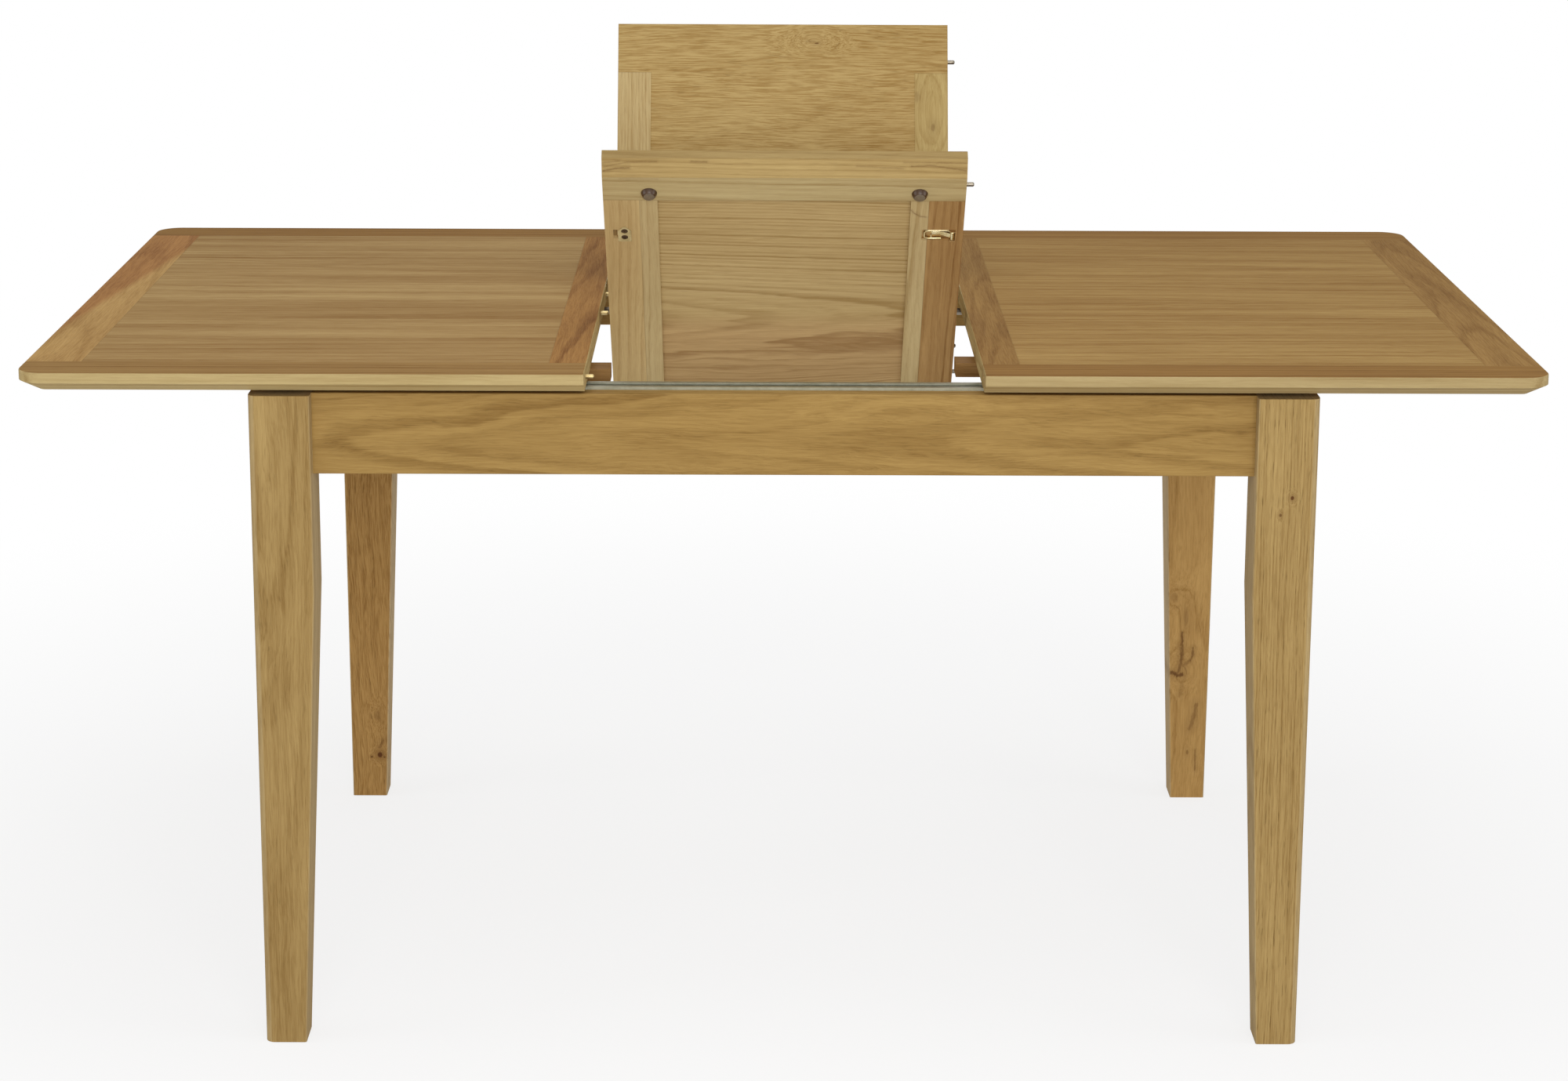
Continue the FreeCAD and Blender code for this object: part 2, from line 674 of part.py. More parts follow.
def make_hinges(name, sign):
    low = "-hinge_thick"
    third = "(hinge_long / 3)"
    start = "(knuckle_radius + knuckle_gap)"
    plates = []
    notches = []
    pins = []
    screws = []
    for side, turn in (("left", "-"), ("right", "")):
        middle = f"{turn}hinge_out"
        whole_x = (f"{middle} - hinge_long / 2", f"{middle} + hinge_long / 2")
        pin = rod(f"{name}_pin_{side}", "x", "hinge_pin", "hinge_long", whole_x[0], "0", "0")
        pins.append(pin)
        plate = [box(f"{name}_plate_{side}", whole_x, span(sign, start, "hinge_wide"), (low, "0"))]
        inner = (f"{middle} - {third} / 2 + knuckle_gap", f"{middle} + {third} / 2 - knuckle_gap")
        outers = [(whole_x[0], f"{middle} - {third} / 2"), (f"{middle} + {third} / 2", whole_x[1])]
        for number, x in enumerate([inner] if sign > 0 else outers):
            plate.append(box(f"{name}_neck_{side}_{number}", x, span(sign, "0", start), (low, "0")))
            plate.append(rod(f"{name}_knuckle_{side}_{number}", "x", "knuckle_radius", f"{x[1]} - ({x[0]})",
                             x[0], "0", "0"))
        bore = pin
        if sign > 0:
            bore = rod(f"{name}_bore_{side}", "x", "hinge_pin + run_gap", "hinge_long", whole_x[0], "0", "0")
        fixing = []
        for number, way in enumerate(("-", "+")):
            y = "hinge_screw_in" if sign > 0 else "-hinge_screw_in"
            fixing.append(screw(f"{name}_screw_{side}_{number}", "-z", "(hinge_thick + screw_bite)",
                                f"{middle} {way} hinge_screw_out", y, "0"))
        plates.append(cut(f"{name}_leaf_{side}", fuse(f"{name}_leaf_plain_{side}", plate), [bore] + fixing))
        notch_x = (f"{whole_x[0]} - recess_gap", f"{whole_x[1]} + recess_gap")
        flat = box(f"{name}_notch_{side}", notch_x, span(sign, "0", "hinge_wide + recess_gap"),
                   (low, "overrun"))
        deep = box(f"{name}_barrel_{side}", notch_x, span(sign, "0", start), (f"-{start}", "overrun"))
        notches.append(fuse(f"{name}_room_{side}", [flat, deep]))
        screws += fixing
    return plates, notches, pins, screws


def make_arms(name):
    arms = []
    screws = []
    low = "(-top_thick - flange_thick)"
    relief = "(-top_thick - arm_relief)"
    for side, sign in (("left", -1), ("right", 1)):
        along = ("pivot_back - arm_half", "pivot_back + arm_half")
        flange = box(f"{name}_flange_{side}", span(sign, f"{half_leaf} - flange_in", half_leaf),
                     ("pivot_back - flange_half", "pivot_back + flange_half"), (low, "-top_thick"))
        far = f"{half_leaf} + arm_gap + arm_thick"
        bridge = box(f"{name}_bridge_{side}", span(sign, f"{half_leaf} - arm_half", far), along,
                     (low, relief))
        plate = box(f"{name}_cheek_{side}", span(sign, f"{half_leaf} + arm_gap", far), along,
                    ("-pivot_drop - arm_end", relief))
        start = span(sign, f"{half_leaf}", far)[0]
        bore = rod(f"{name}_bore_{side}", "x", "pivot_radius + run_gap", "arm_gap + arm_thick",
                   start, "pivot_back", "-pivot_drop")
        middle = span(sign, f"{half_leaf} - flange_in / 2", "0")[0 if sign > 0 else 1]
        fixing = [screw(f"{name}_screw_{side}_{n}", "z", "(flange_thick + screw_bite)", middle,
                        f"pivot_back {way} flange_screw", low) for n, way in enumerate(("-", "+"))]
        plain = fuse(f"{name}_plain_{side}", [flange, bridge, plate])
        arms.append(cut(f"{name}_{side}", plain, [bore] + fixing))
        screws += fixing
    return arms, screws


def make_half(half, sign):
    name = half + "_leaf"
    far = half_wide
    block = box(name + "_block", (f"-{half_leaf}", half_leaf), span(sign, "half_gap", far),
                ("-top_thick", "0"))
    low = amount("-top_thick")
    reach = amount(far)
    touch = amount("run_gap")
    outer = lambda e: max(abs(e.BoundBox.YMin), abs(e.BoundBox.YMax)) > reach - touch
    along = lambda e: near_z(e, low) and outer(e) and e.BoundBox.YLength < touch
    slab = bevelled(name + "_slab", block, "bevel_in", "top_thick - edge_face", along)
    inner = lambda e: max(abs(e.BoundBox.YMin), abs(e.BoundBox.YMax)) < reach / 2
    eased = rounded(name + "_eased", slab, "top_ease", lambda e: near_z(e, 0) and not inner(e))
    joint = f"({far} - border_wide)"
    over = (f"-{half_leaf} - overrun", f"{half_leaf} + overrun")
    thick = ("-top_thick - overrun", "overrun")
    panel_half = f"({half_leaf} - inner_wide)"
    rail = common(name + "_rail_board", eased,
                  box(name + "_rail_region", over, span(sign, joint, f"{far} + overrun"), thick))
    panel = common(name + "_panel_board", eased,
                   box(name + "_panel_region", (f"-{panel_half}", panel_half), span(sign, "0", joint),
                       ("-panel_thick", "overrun")))
    stiles = {}
    for side, hand in (("left", -1), ("right", 1)):
        edge = box(f"{name}_edge_{side}", span(hand, panel_half, f"{half_leaf} + overrun"),
                   span(sign, "0", joint), thick)
        batten = box(f"{name}_batten_{side}", span(hand, f"{panel_half} - batten_wide", panel_half),
                     span(sign, "0", joint), ("-top_thick - overrun", "-panel_thick"))
        stiles[side] = common(f"{name}_{side}_board", eased, fuse(f"{name}_{side}_region", [edge, batten]))
    turn = "" if sign > 0 else "-"
    rows = [f"{turn}pin_near", f"{turn}({far} - pin_edge)"]
    level = "(-top_thick / 2)"
    pins = make_pins(name + "_pin", half_leaf, rows, level)
    plugs, bushes = make_sockets(name + "_socket", f"-{half_leaf}", rows, level)
    bumpers = [cone(f"{name}_bumper_{side}", "-z", "bumper_base", "bumper_tip", "glide_gap - rest_gap",
                    f"{way}bumper_out", f"{turn}({far} - bumper_edge)", "-top_thick")
               for side, way in (("left", "-"), ("right", ""))]
    plates, notches, hinge_pins, screws = make_hinges(name + "_hinge", sign)
    tools = pins + plugs + notches
    if sign > 0:
        arms, fixing = make_arms(name + "_arm")
        stand("rear_leaf_pivot_arms", arms, sign)
        screws = screws + fixing
    else:
        row = f"(clip_row - {far})"
        base, lever, recess = make_clip(name + "_clip", half_leaf, row, "(-top_thick)")
        stand("front_leaf_clip_base", [base], sign)
        stand("front_leaf_clip_lever", [lever], sign)
        plate, slot, fixing = make_keeper(name + "_keeper", f"-{half_leaf}", row, "(-top_thick)")
        stand("front_leaf_keeper", [cut(name + "_keeper_cut", plate, [slot] + fixing)], sign)
        stand("hinge_pins", hinge_pins, sign)
        screws = screws + fixing
        tools = tools + [recess, plate, slot]
    tools = tools + screws
    stand(name + "_panel", [cut(name + "_panel_cut", panel, tools)], sign)
    stand(name + "_outer_rail", [cut(name + "_rail_cut", rail, tools)], sign)
    for side in stiles:
        stand(f"{name}_{side}_stile", [cut(f"{name}_{side}_cut", stiles[side], tools)], sign)
    stand(name + "_pins", pins, sign)
    stand(name + "_sockets", bushes, sign)
    stand(name + "_bumpers", bumpers, sign)
    stand(name + "_hinge_plates", plates, sign)
    stand(name + "_screws", screws, sign)


make_corners()
make_frame()
make_top("left", -1)
make_top("right", 1)
make_half("rear", 1)
make_half("front", -1)
doc.recompute()

for thing in doc.Objects:
    if "Invalid" in thing.State or "Error" in thing.State:
        raise RuntimeError("failed: " + thing.Name)
for node, thing in pieces.items():
    if thing.Shape.isNull() or not thing.Shape.isValid():
        raise RuntimeError("bad shape: " + node)

os.makedirs("parts", exist_ok=True)
for node, thing in pieces.items():
    thing.Shape.exportStep(f"parts/{node}.step")
    print(node, len(thing.Shape.Solids), round(thing.Shape.Volume))
print(len(pieces), "pieces")
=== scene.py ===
import json
import math
import bmesh
import bpy
from mathutils import Matrix, Vector


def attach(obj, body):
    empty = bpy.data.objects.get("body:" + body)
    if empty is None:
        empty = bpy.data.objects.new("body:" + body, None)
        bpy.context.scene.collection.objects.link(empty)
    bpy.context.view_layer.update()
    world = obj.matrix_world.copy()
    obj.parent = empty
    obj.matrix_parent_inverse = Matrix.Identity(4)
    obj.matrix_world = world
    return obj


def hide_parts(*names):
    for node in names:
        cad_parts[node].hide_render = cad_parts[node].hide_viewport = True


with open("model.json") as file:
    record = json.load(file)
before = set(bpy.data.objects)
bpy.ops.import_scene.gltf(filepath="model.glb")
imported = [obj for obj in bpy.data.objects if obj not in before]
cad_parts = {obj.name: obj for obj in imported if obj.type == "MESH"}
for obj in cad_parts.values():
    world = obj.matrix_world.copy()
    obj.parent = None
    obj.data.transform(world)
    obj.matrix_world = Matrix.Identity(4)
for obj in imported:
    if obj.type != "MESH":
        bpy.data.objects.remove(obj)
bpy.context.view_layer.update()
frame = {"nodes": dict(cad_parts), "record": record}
nodes = frame["nodes"]
behaviour = frame["record"]["behaviour"]

# how the two leaf halves stand, read from their joints: at the low end of the swing both lie flat
joints = {joint["name"]: joint for joint in behaviour["joints"]}
foldRatio = behaviour["couplings"][0]["ratio"]
rearTurn = -math.radians(joints["leaf_swing"]["range_deg"][0])
frontTurn = rearTurn * (1 - foldRatio)
hingeLine = Vector(joints["leaf_fold"]["pos_m"])
tableSpace = Matrix.Identity(4)
leafSpaces = {
    "rear": Matrix.Translation(hingeLine) @ Matrix.Rotation(rearTurn, 4, "X"),
    "front": Matrix.Translation(hingeLine) @ Matrix.Rotation(frontTurn, 4, "X"),
}
millimetre = 0.001
origin = (0, 0, 0)
grey = (0.5, 0.5, 0.5, 1)
white = (1, 1, 1, 1)


def fromScreen(red, green, blue):  # a colour as a screen shows it, 0 to 255
    parts = [value / 255 for value in (red, green, blue)]
    linear = [p / 12.92 if p <= 0.04045 else ((p + 0.055) / 1.055) ** 2.4 for p in parts]
    return (*linear, 1)


def boxOf(points):
    low = Vector([min(point[i] for point in points) for i in range(3)])
    high = Vector([max(point[i] for point in points) for i in range(3)])
    return low, high


# small helpers for node trees; the one being built lies on the bench
bench = dict(tree=None)


def addNode(kind, inputs=None, **settings):
    tree = bench["tree"]
    node = tree.nodes.new("ShaderNode" + kind)
    for name, value in settings.items():
        setattr(node, name, value)
    for key, value in (inputs or {}).items():
        if isinstance(value, bpy.types.NodeSocket):
            tree.links.new(value, node.inputs[key])
        else:
            node.inputs[key].default_value = value
    return node


def maths(operation, *values, clamp=False):
    return addNode("Math", dict(enumerate(values)), operation=operation, use_clamp=clamp).outputs[0]


def times(*values):
    return maths("MULTIPLY", *values)


def timesPlus(*values):
    return maths("MULTIPLY_ADD", *values)


def plus(*values):
    return maths("ADD", *values)


def minus(*values):
    return maths("SUBTRACT", *values)


def vectorMath(operation, *vectors):
    outputs = addNode("VectorMath", dict(enumerate(vectors)), operation=operation).outputs
    return outputs["Value" if operation in ("DOT_PRODUCT", "DISTANCE", "LENGTH") else "Vector"]


def separate(vector):
    return addNode("SeparateXYZ", {0: vector}).outputs


def combine(*values):
    return addNode("CombineXYZ", dict(enumerate(values))).outputs[0]


def softStep(value, low, high, start=0.0, end=1.0):
    inputs = {"Value": value, "From Min": low, "From Max": high, "To Min": start, "To Max": end}
    return addNode("MapRange", inputs, interpolation_type="SMOOTHSTEP").outputs[0]


def mixColours(factor, first, second):
    return addNode("Mix", {0: factor, 6: first, 7: second}, data_type="RGBA").outputs[2]


def noiseAt(vector, scale, detail=2.0, roughness=0.5):
    scaled = vectorMath("MULTIPLY", vector, scale)
    inputs = {"Vector": scaled, "Scale": 1.0, "Detail": detail, "Roughness": roughness}
    return addNode("TexNoise", inputs).outputs["Fac"]


def wobble(vector, scale, detail=2.0, roughness=0.5):  # noise about zero
    return minus(noiseAt(vector, scale, detail, roughness), 0.5)


def darkest(first, second):
    return second if first is None else maths("MAXIMUM", first, second)


def newGroup(name, inputs):
    tree = bpy.data.node_groups.new(name, "ShaderNodeTree")
    for label, start in inputs.items():
        kind = {3: "Vector", 4: "Color"}[len(start)] if isinstance(start, tuple) else "Float"
        socket = tree.interface.new_socket(label, in_out="INPUT", socket_type="NodeSocket" + kind)
        socket.default_value = start
    bench["tree"] = tree
    return tree.nodes.new("NodeGroupInput").outputs


def finishGroup(outputs):
    tree = bench["tree"]
    kinds = {"VALUE": "Float", "VECTOR": "Vector", "RGBA": "Color"}
    for label, value in outputs.items():
        tree.interface.new_socket(label, in_out="OUTPUT", socket_type="NodeSocket" + kinds[value.type])
    result = tree.nodes.new("NodeGroupOutput").inputs
    for label, value in outputs.items():
        tree.links.new(value, result[label])
    return tree


def placeGroup(group, inputs):
    return addNode("Group", inputs, node_tree=group).outputs


def newMaterial(name):
    material = bpy.data.materials.new(name)
    material.use_nodes = True
    material.node_tree.nodes.clear()
    bench["tree"] = material.node_tree
    return material


def finishMaterial(height, depth, strength, inputs):
    bump = addNode("Bump", {"Height": height, "Distance": depth, "Strength": strength}).outputs[0]
    shader = addNode("BsdfPrincipled", dict(inputs, Normal=bump)).outputs[0]
    addNode("OutputMaterial", {"Surface": shader})


def addObject(name, data):
    thing = bpy.data.objects.new(name, data)
    bpy.context.scene.collection.objects.link(thing)
    return thing


# oak: growth rings about a pith line under the board, fibres and pores that follow them, and slow
# drifts of tone. The board lies along X with its show face up Z. Scales are waves per metre along,
# across and through the board.
oakScales = dict(slow=(1.9, 8, 8), quick=(9, 50, 50), feather=(16, 420, 420), band=(0.9, 34, 34),
                 streak=(2.8, 210, 210), fibre=(30, 760, 760), cloud=(3.0, 10, 10), dash=(60, 800, 800),
                 fleck=(90, 330, 330))
oakShares = dict(seedSteps=(7.31, 3.17, 5.73), quick=0.2, sideways=1.4, feather=0.35, yearStep=0.8,
                 yearSeed=11.7, fibre=0.4, cloud=0.6, meanLine=0.22, meanFibre=0.4, meanTone=0.45,
                 linesLow=-0.3, fibresLow=-0.3, poreRough=0.16, toneRough=0.06)


def makeOakGroup():
    given = newGroup("oakGrain", {
        "Vector": origin, "Seed": 0.0, "Ring Spacing": 0.006, "Pith Depth": 0.08, "Pith Shift": 0.0,
        "Pith Tilt": 0.02, "Sway": 0.01, "Figure": 0.5, "Bands": 1.0, "Streaks": 0.5, "Fibres": 0.5,
        "Pores": 0.5, "Flecks": 0.0, "Pale": grey, "Deep": grey, "Pore Colour": grey,
    })
    share = oakShares
    scale = oakScales
    seed = given["Seed"]
    shift = combine(*[times(seed, step) for step in share["seedSteps"]])
    moved = vectorMath("ADD", given["Vector"], shift)
    xyz = separate(given["Vector"])
    # the grain wanders slowly along the board, and everything in it follows
    slow = wobble(moved, scale["slow"])
    quick = wobble(moved, scale["quick"])
    wander = timesPlus(quick, share["quick"], slow)
    bend = times(given["Sway"], wander)
    sideways = times(bend, share["sideways"])
    flow = vectorMath("ADD", moved, combine(0.0, sideways, bend))
    # how far each point is from the pith, counted in rings
    across = minus(plus(sideways, xyz[1]), given["Pith Shift"])
    rise = times(given["Pith Tilt"], xyz[0])
    deep = plus(xyz[2], given["Pith Depth"])
    deep = plus(deep, plus(rise, bend))
    square = timesPlus(across, across, times(deep, deep))
    rings = maths("DIVIDE", maths("SQRT", square), given["Ring Spacing"])
    feather = wobble(flow, scale["feather"], 2, 0.6)
    count = timesPlus(feather, share["feather"], rings)
    part = maths("FRACT", count)
    key = timesPlus(count, share["yearStep"], times(seed, share["yearSeed"]))
    year = addNode("TexNoise", {"W": key, "Scale": 1.0, "Detail": 1.0}, noise_dimensions="1D")
    year = softStep(year.outputs["Fac"], 0.3, 0.7)
    # each ring starts with a sharp dark line of early wood that fades into late wood
    fall = softStep(part, 0.15, timesPlus(year, 0.4, 0.5), 1, 0)
    early = times(fall, softStep(part, 0.0, 0.2))
    lines = times(early, timesPlus(year, 0.8, 0.2))
    band = wobble(flow, scale["band"])
    streak = wobble(flow, scale["streak"], 4, 0.65)
    fibre = softStep(noiseAt(flow, scale["fibre"], 3, 0.6), 0.41, 0.63)
    fibre = minus(fibre, share["meanFibre"])
    cloud = wobble(moved, scale["cloud"])
    tone = times(minus(lines, share["meanLine"]), given["Figure"])
    tone = timesPlus(band, given["Bands"], tone)
    tone = timesPlus(streak, given["Streaks"], tone)
    tone = timesPlus(fibre, times(given["Fibres"], share["fibre"]), tone)
    tone = timesPlus(cloud, share["cloud"], tone)
    tone = maths("ADD", tone, share["meanTone"], clamp=True)
    colour = mixColours(tone, given["Pale"], given["Deep"])
    # short dark pores, thick in the early wood
    dash = softStep(noiseAt(flow, scale["dash"], 1), 0.58, 0.7)
    pores = times(dash, timesPlus(lines, 0.7, 0.3))
    colour = mixColours(times(pores, given["Pores"]), colour, given["Pore Colour"])
    # pale ray flecks on faces cut near the radius
    fleck = softStep(noiseAt(moved, scale["fleck"]), 0.58, 0.7)
    colour = mixColours(times(fleck, given["Flecks"]), colour, given["Pale"])
    ridge = times(fibre, share["fibresLow"])
    ridge = timesPlus(lines, share["linesLow"], ridge)
    rough = times(tone, share["toneRough"])
    return finishGroup({"Color": colour, "Height": minus(ridge, pores),
                        "Roughness": timesPlus(pores, share["poreRough"], rough)})


# a board glued up from staves: each stave has its own tone and its own piece of tree
staveLook = dict(start=50.37, reach=(3.0, 0.3, 0.02), lineWide=0.0006, shade=0.26, lineDark=0.25)


def makeStaveGroup():
    given = newGroup("gluedStaves", {"Vector": origin, "Width": 0.1, "Seed": 0.0})
    across = separate(given["Vector"])[1]
    place = plus(maths("DIVIDE", across, given["Width"]), staveLook["start"])
    seeded = combine(maths("FLOOR", place), given["Seed"], 0.0)
    random = addNode("TexWhiteNoise", {"Vector": seeded}, noise_dimensions="3D").outputs
    offset = vectorMath("MULTIPLY", random["Color"], staveLook["reach"])
    edge = maths("ABSOLUTE", minus(maths("FRACT", place), 0.5))
    far = times(minus(0.5, edge), given["Width"])
    return finishGroup({"Vector": vectorMath("ADD", given["Vector"], offset),
                        "Tone": random["Value"],
                        "Line": softStep(far, 0.0, staveLook["lineWide"], 1, 0)})


# a knot: a dark ragged heart, with the rings pushed aside and lifted into loops around it
knotLook = dict(scale=(90, 330, 330), ragged=0.6, heart=(0.5, 1.05), halo=(0.8, 3.6), haloShare=0.3,
                base=2.718, fall=-0.22, colour=fromScreen(92, 57, 31))


def makeKnotGroup():
    given = newGroup("knot", {
        "Vector": origin, "Centre": origin, "Length": 0.03, "Width": 0.012, "Lift": 0.01,
    })
    local = vectorMath("SUBTRACT", given["Vector"], given["Centre"])
    xyz = separate(local)
    long = maths("DIVIDE", xyz[0], given["Length"])
    wide = maths("DIVIDE", xyz[1], given["Width"])
    far = maths("SQRT", timesPlus(long, long, times(wide, wide)))
    rough = timesPlus(wobble(local, knotLook["scale"], 4, 0.7), knotLook["ragged"], far)
    power = times(times(far, far), knotLook["fall"])
    lifted = times(maths("POWER", knotLook["base"], power), given["Lift"])
    lift = combine(0.0, 0.0, lifted)
    return finishGroup({"Vector": vectorMath("ADD", given["Vector"], lift),
                        "Heart": softStep(rough, *knotLook["heart"], 1, 0),
                        "Halo": softStep(rough, *knotLook["halo"], 1, 0)})


# a crack from one point to another, ragged along its sides
crackLook = dict(scale=(150, 420, 1), ragged=3.2, core=(0.2, 1.7), halo=(1.0, 4.5), haloDark=0.3)


def makeCrackGroup():
    given = newGroup("crack", {"Vector": origin, "From": origin, "To": origin, "Half": 0.002})
    flat = vectorMath("MULTIPLY", given["Vector"], (1, 1, 0))
    along = vectorMath("SUBTRACT", given["To"], given["From"])
    local = vectorMath("SUBTRACT", flat, given["From"])
    share = maths("DIVIDE", vectorMath("DOT_PRODUCT", local, along),
                  vectorMath("DOT_PRODUCT", along, along), clamp=True)
    off = vectorMath("DISTANCE", local, vectorMath("MULTIPLY", along, share))
    clear = maths("DIVIDE", off, given["Half"])
    ragged = wobble(flat, crackLook["scale"], 4, 0.65)
    worn = timesPlus(ragged, crackLook["ragged"], clear)
    halo = softStep(worn, *crackLook["halo"], crackLook["haloDark"], 0)
    core = softStep(worn, *crackLook["core"], 1, 0)
    return finishGroup({"Mask": maths("MAXIMUM", core, halo)})


# the dark hairline where two boards meet, along the sides of a board's own box
jointLook = dict(wide=0.0014, dark=0.3, far=9.0)


def makeJointGroup():
    given = newGroup("jointLine", {"Vector": origin, "Low": origin, "High": origin})
    below = vectorMath("SUBTRACT", given["Vector"], given["Low"])
    above = vectorMath("SUBTRACT", given["High"], given["Vector"])
    xyz = separate(vectorMath("MINIMUM", below, above))
    near = maths("MINIMUM", xyz[0], xyz[1])
    line = addNode("MapRange", {"Value": near, "From Min": 0.0, "From Max": jointLook["wide"],
                                "To Min": 1.0, "To Max": 0.0})
    return finishGroup({"Line": line.outputs[0]})


# plated or drawn metal: a drift of tint, fine drawn lines and small stains
metalLook = dict(drift=(90, 90, 90), drawn=(25, 2200, 2200), stain=(420, 420, 420),
                 stainColour=(0.12, 0.1, 0.08, 1), stainRough=0.15, drawnRough=0.4, seedStep=1.3,
                 bumpDeep=0.00005, bump=0.5)


def makeMetalGroup():
    given = newGroup("platedMetal", {
        "Vector": origin, "Seed": 0.0, "Bright": grey, "Tint": grey, "Drawn": 0.3, "Stain": 0.14,
        "Roughness": 0.3,
    })
    shift = combine(given["Seed"], given["Seed"], given["Seed"])
    moved = vectorMath("ADD", given["Vector"], shift)
    drift = softStep(noiseAt(moved, metalLook["drift"], 3, 0.6), 0.35, 0.7)
    stain = softStep(noiseAt(moved, metalLook["stain"], 3), 0.55, 0.75)
    drawn = times(wobble(moved, metalLook["drawn"]), given["Drawn"])
    colour = mixColours(drift, given["Bright"], given["Tint"])
    stained = times(stain, given["Stain"])
    rough = timesPlus(drawn, metalLook["drawnRough"], given["Roughness"])
    return finishGroup({"Color": mixColours(stained, colour, metalLook["stainColour"]),
                        "Roughness": timesPlus(stain, metalLook["stainRough"], rough),
                        "Height": drawn})


oakGroup = makeOakGroup()
staveGroup = makeStaveGroup()
knotGroup = makeKnotGroup()
crackGroup = makeCrackGroup()
jointGroup = makeJointGroup()
metalGroup = makeMetalGroup()
print("node groups: oak, staves, knot, crack, joint line, metal")


# satin lacquered oak, in the tones the table's parts have: late and early wood, with darker pores
woodColours = {
    "top": ((191, 160, 106), (142, 104, 53)),
    "topGold": ((187, 154, 94), (139, 99, 45)),
    "topFront": ((170, 135, 80), (134, 97, 49)),
    "topDeep": ((160, 121, 64), (120, 81, 35)),
    "topBrown": ((166, 129, 73), (127, 89, 41)),
    "topEnd": ((196, 158, 98), (156, 116, 62)),
    "topRed": ((180, 131, 76), (134, 86, 42)),
    "topInner": ((172, 127, 70), (128, 84, 39)),
    # edge tones, paler than the faces: partly the edge wood's own tone, partly painted light from the front
    # lamp
    "edge": ((191, 170, 121), (156, 131, 84)),
    "edgeDeep": ((178, 157, 112), (146, 121, 77)),
    "apron": ((171, 139, 82), (132, 101, 54)),
    "leg": ((178, 150, 97), (128, 98, 53)),
    # the front legs' side faces: paler than their fronts, painted light on the sides
    "legSide": ((184, 160, 114), (144, 118, 76)),
    "rearLeft": ((178, 140, 84), (138, 101, 54)),
    "rearRight": ((196, 158, 98), (156, 118, 66)),
    # the rear legs' side faces: paler than their fronts, painted light on the sides
    "rearSide": ((200, 176, 134), (164, 136, 96)),
    "leaf": ((190, 164, 110), (150, 118, 66)),
    "leafUnder": ((200, 174, 123), (160, 131, 82)),
    "leafMid": ((207, 181, 129), (168, 137, 88)),
    # darker, warmer tone for the front leaf panel's lower part: painted shade
    "leafLowShade": ((193, 162, 113), (151, 118, 76)),
    "leafPale": ((200, 179, 132), (162, 134, 86)),
    "leafRail": ((193, 173, 126), (156, 130, 82)),
    "leafGreen": ((193, 171, 117), (153, 125, 73)),
    # the leaf rail's bevel edge tone: partly painted light
    "leafBevel": ((190, 164, 110), (150, 122, 74)),
    "leafRed": ((178, 142, 91), (132, 94, 52)),
    # the leaf rests' dark tone: painted shade from the leaf over them
    "block": ((158, 122, 76), (116, 84, 48)),
    "hidden": ((150, 114, 68), (106, 74, 40)),
}
poreShare = 0.72
oakTones = {tone: dict(pale=fromScreen(*pale), deep=fromScreen(*deep),
                       pore=fromScreen(*[part * poreShare for part in deep]))
            for tone, (pale, deep) in woodColours.items()}
lacquer = dict(roughness=0.46, specular=0.0, coat=0.08, coatRoughness=0.24, poreDepth=0.00012, bump=0.6)
plainGrain = dict(sway=0.012, figure=0.5, bands=0.8, streaks=0.8, fibres=0.5, pores=0.4, flecks=0.0)
axisVectors = {"x": Vector((1, 0, 0)), "y": Vector((0, 1, 0)), "z": Vector((0, 0, 1))}


# the space of a board: X along its grain, Z out of its show face, the origin in its middle
def boardSpace(node, space, grain, face):
    along = axisVectors[grain]
    up = axisVectors[face]
    turn = space.to_3x3() @ Matrix((along, up.cross(along), up)).transposed()
    inverse = turn.inverted()
    low, high = boxOf([inverse @ vertex.co for vertex in nodes[node].data.vertices])
    middle = (low + high) / 2
    return turn, turn @ middle, low - middle, high - middle


def mixPalette(factor, palette, tone):
    return {key: mixColours(factor, palette[key], colour) for key, colour in oakTones[tone].items()}


# the palette of a board: its own tone, a second tone past a line across it, a tone of its own on the show
# face, and a paler edge, partly the edge wood's own tone and partly painted light on faces turned to the
# lamps. A second tone that isn't soft is a glued stave, with a dark line at its joint.
paletteLook = dict(grainScale=(6, 90, 90), least=0.0001, line=(0.0002, 0.0009), facing=(0.9, 0.97))


def boardPalette(spec, board, normal, away):
    palette = oakTones[spec["tone"]]
    line = None
    if "second" in spec:
        second = spec["second"]
        past = second["past"]
        soft = second.get("soft", 0.0)
        place = vectorMath("DOT_PRODUCT", board, (*second["slope"], 0.0))
        if soft:
            grain = wobble(board, paletteLook["grainScale"], 3, 0.6)
            place = timesPlus(grain, soft, place)
        else:
            near = maths("ABSOLUTE", minus(place, past))
            line = softStep(near, *paletteLook["line"], 1, 0)
        reach = soft + paletteLook["least"]
        beyond = softStep(place, past - reach, past + reach)
        palette = mixPalette(beyond, palette, second["tone"])
    if "show" in spec or "edge" in spec:
        faces = vectorMath("DOT_PRODUCT", normal, away)
    if "show" in spec:
        palette = mixPalette(softStep(faces, *paletteLook["facing"]), palette, spec["show"])
    if "edge" in spec:
        # faces turned away from the show face take the paler edge tone: partly painted light
        side = softStep(maths("ABSOLUTE", faces), *paletteLook["facing"], 1, 0)
        palette = mixPalette(side, palette, spec["edge"])
    return palette, line


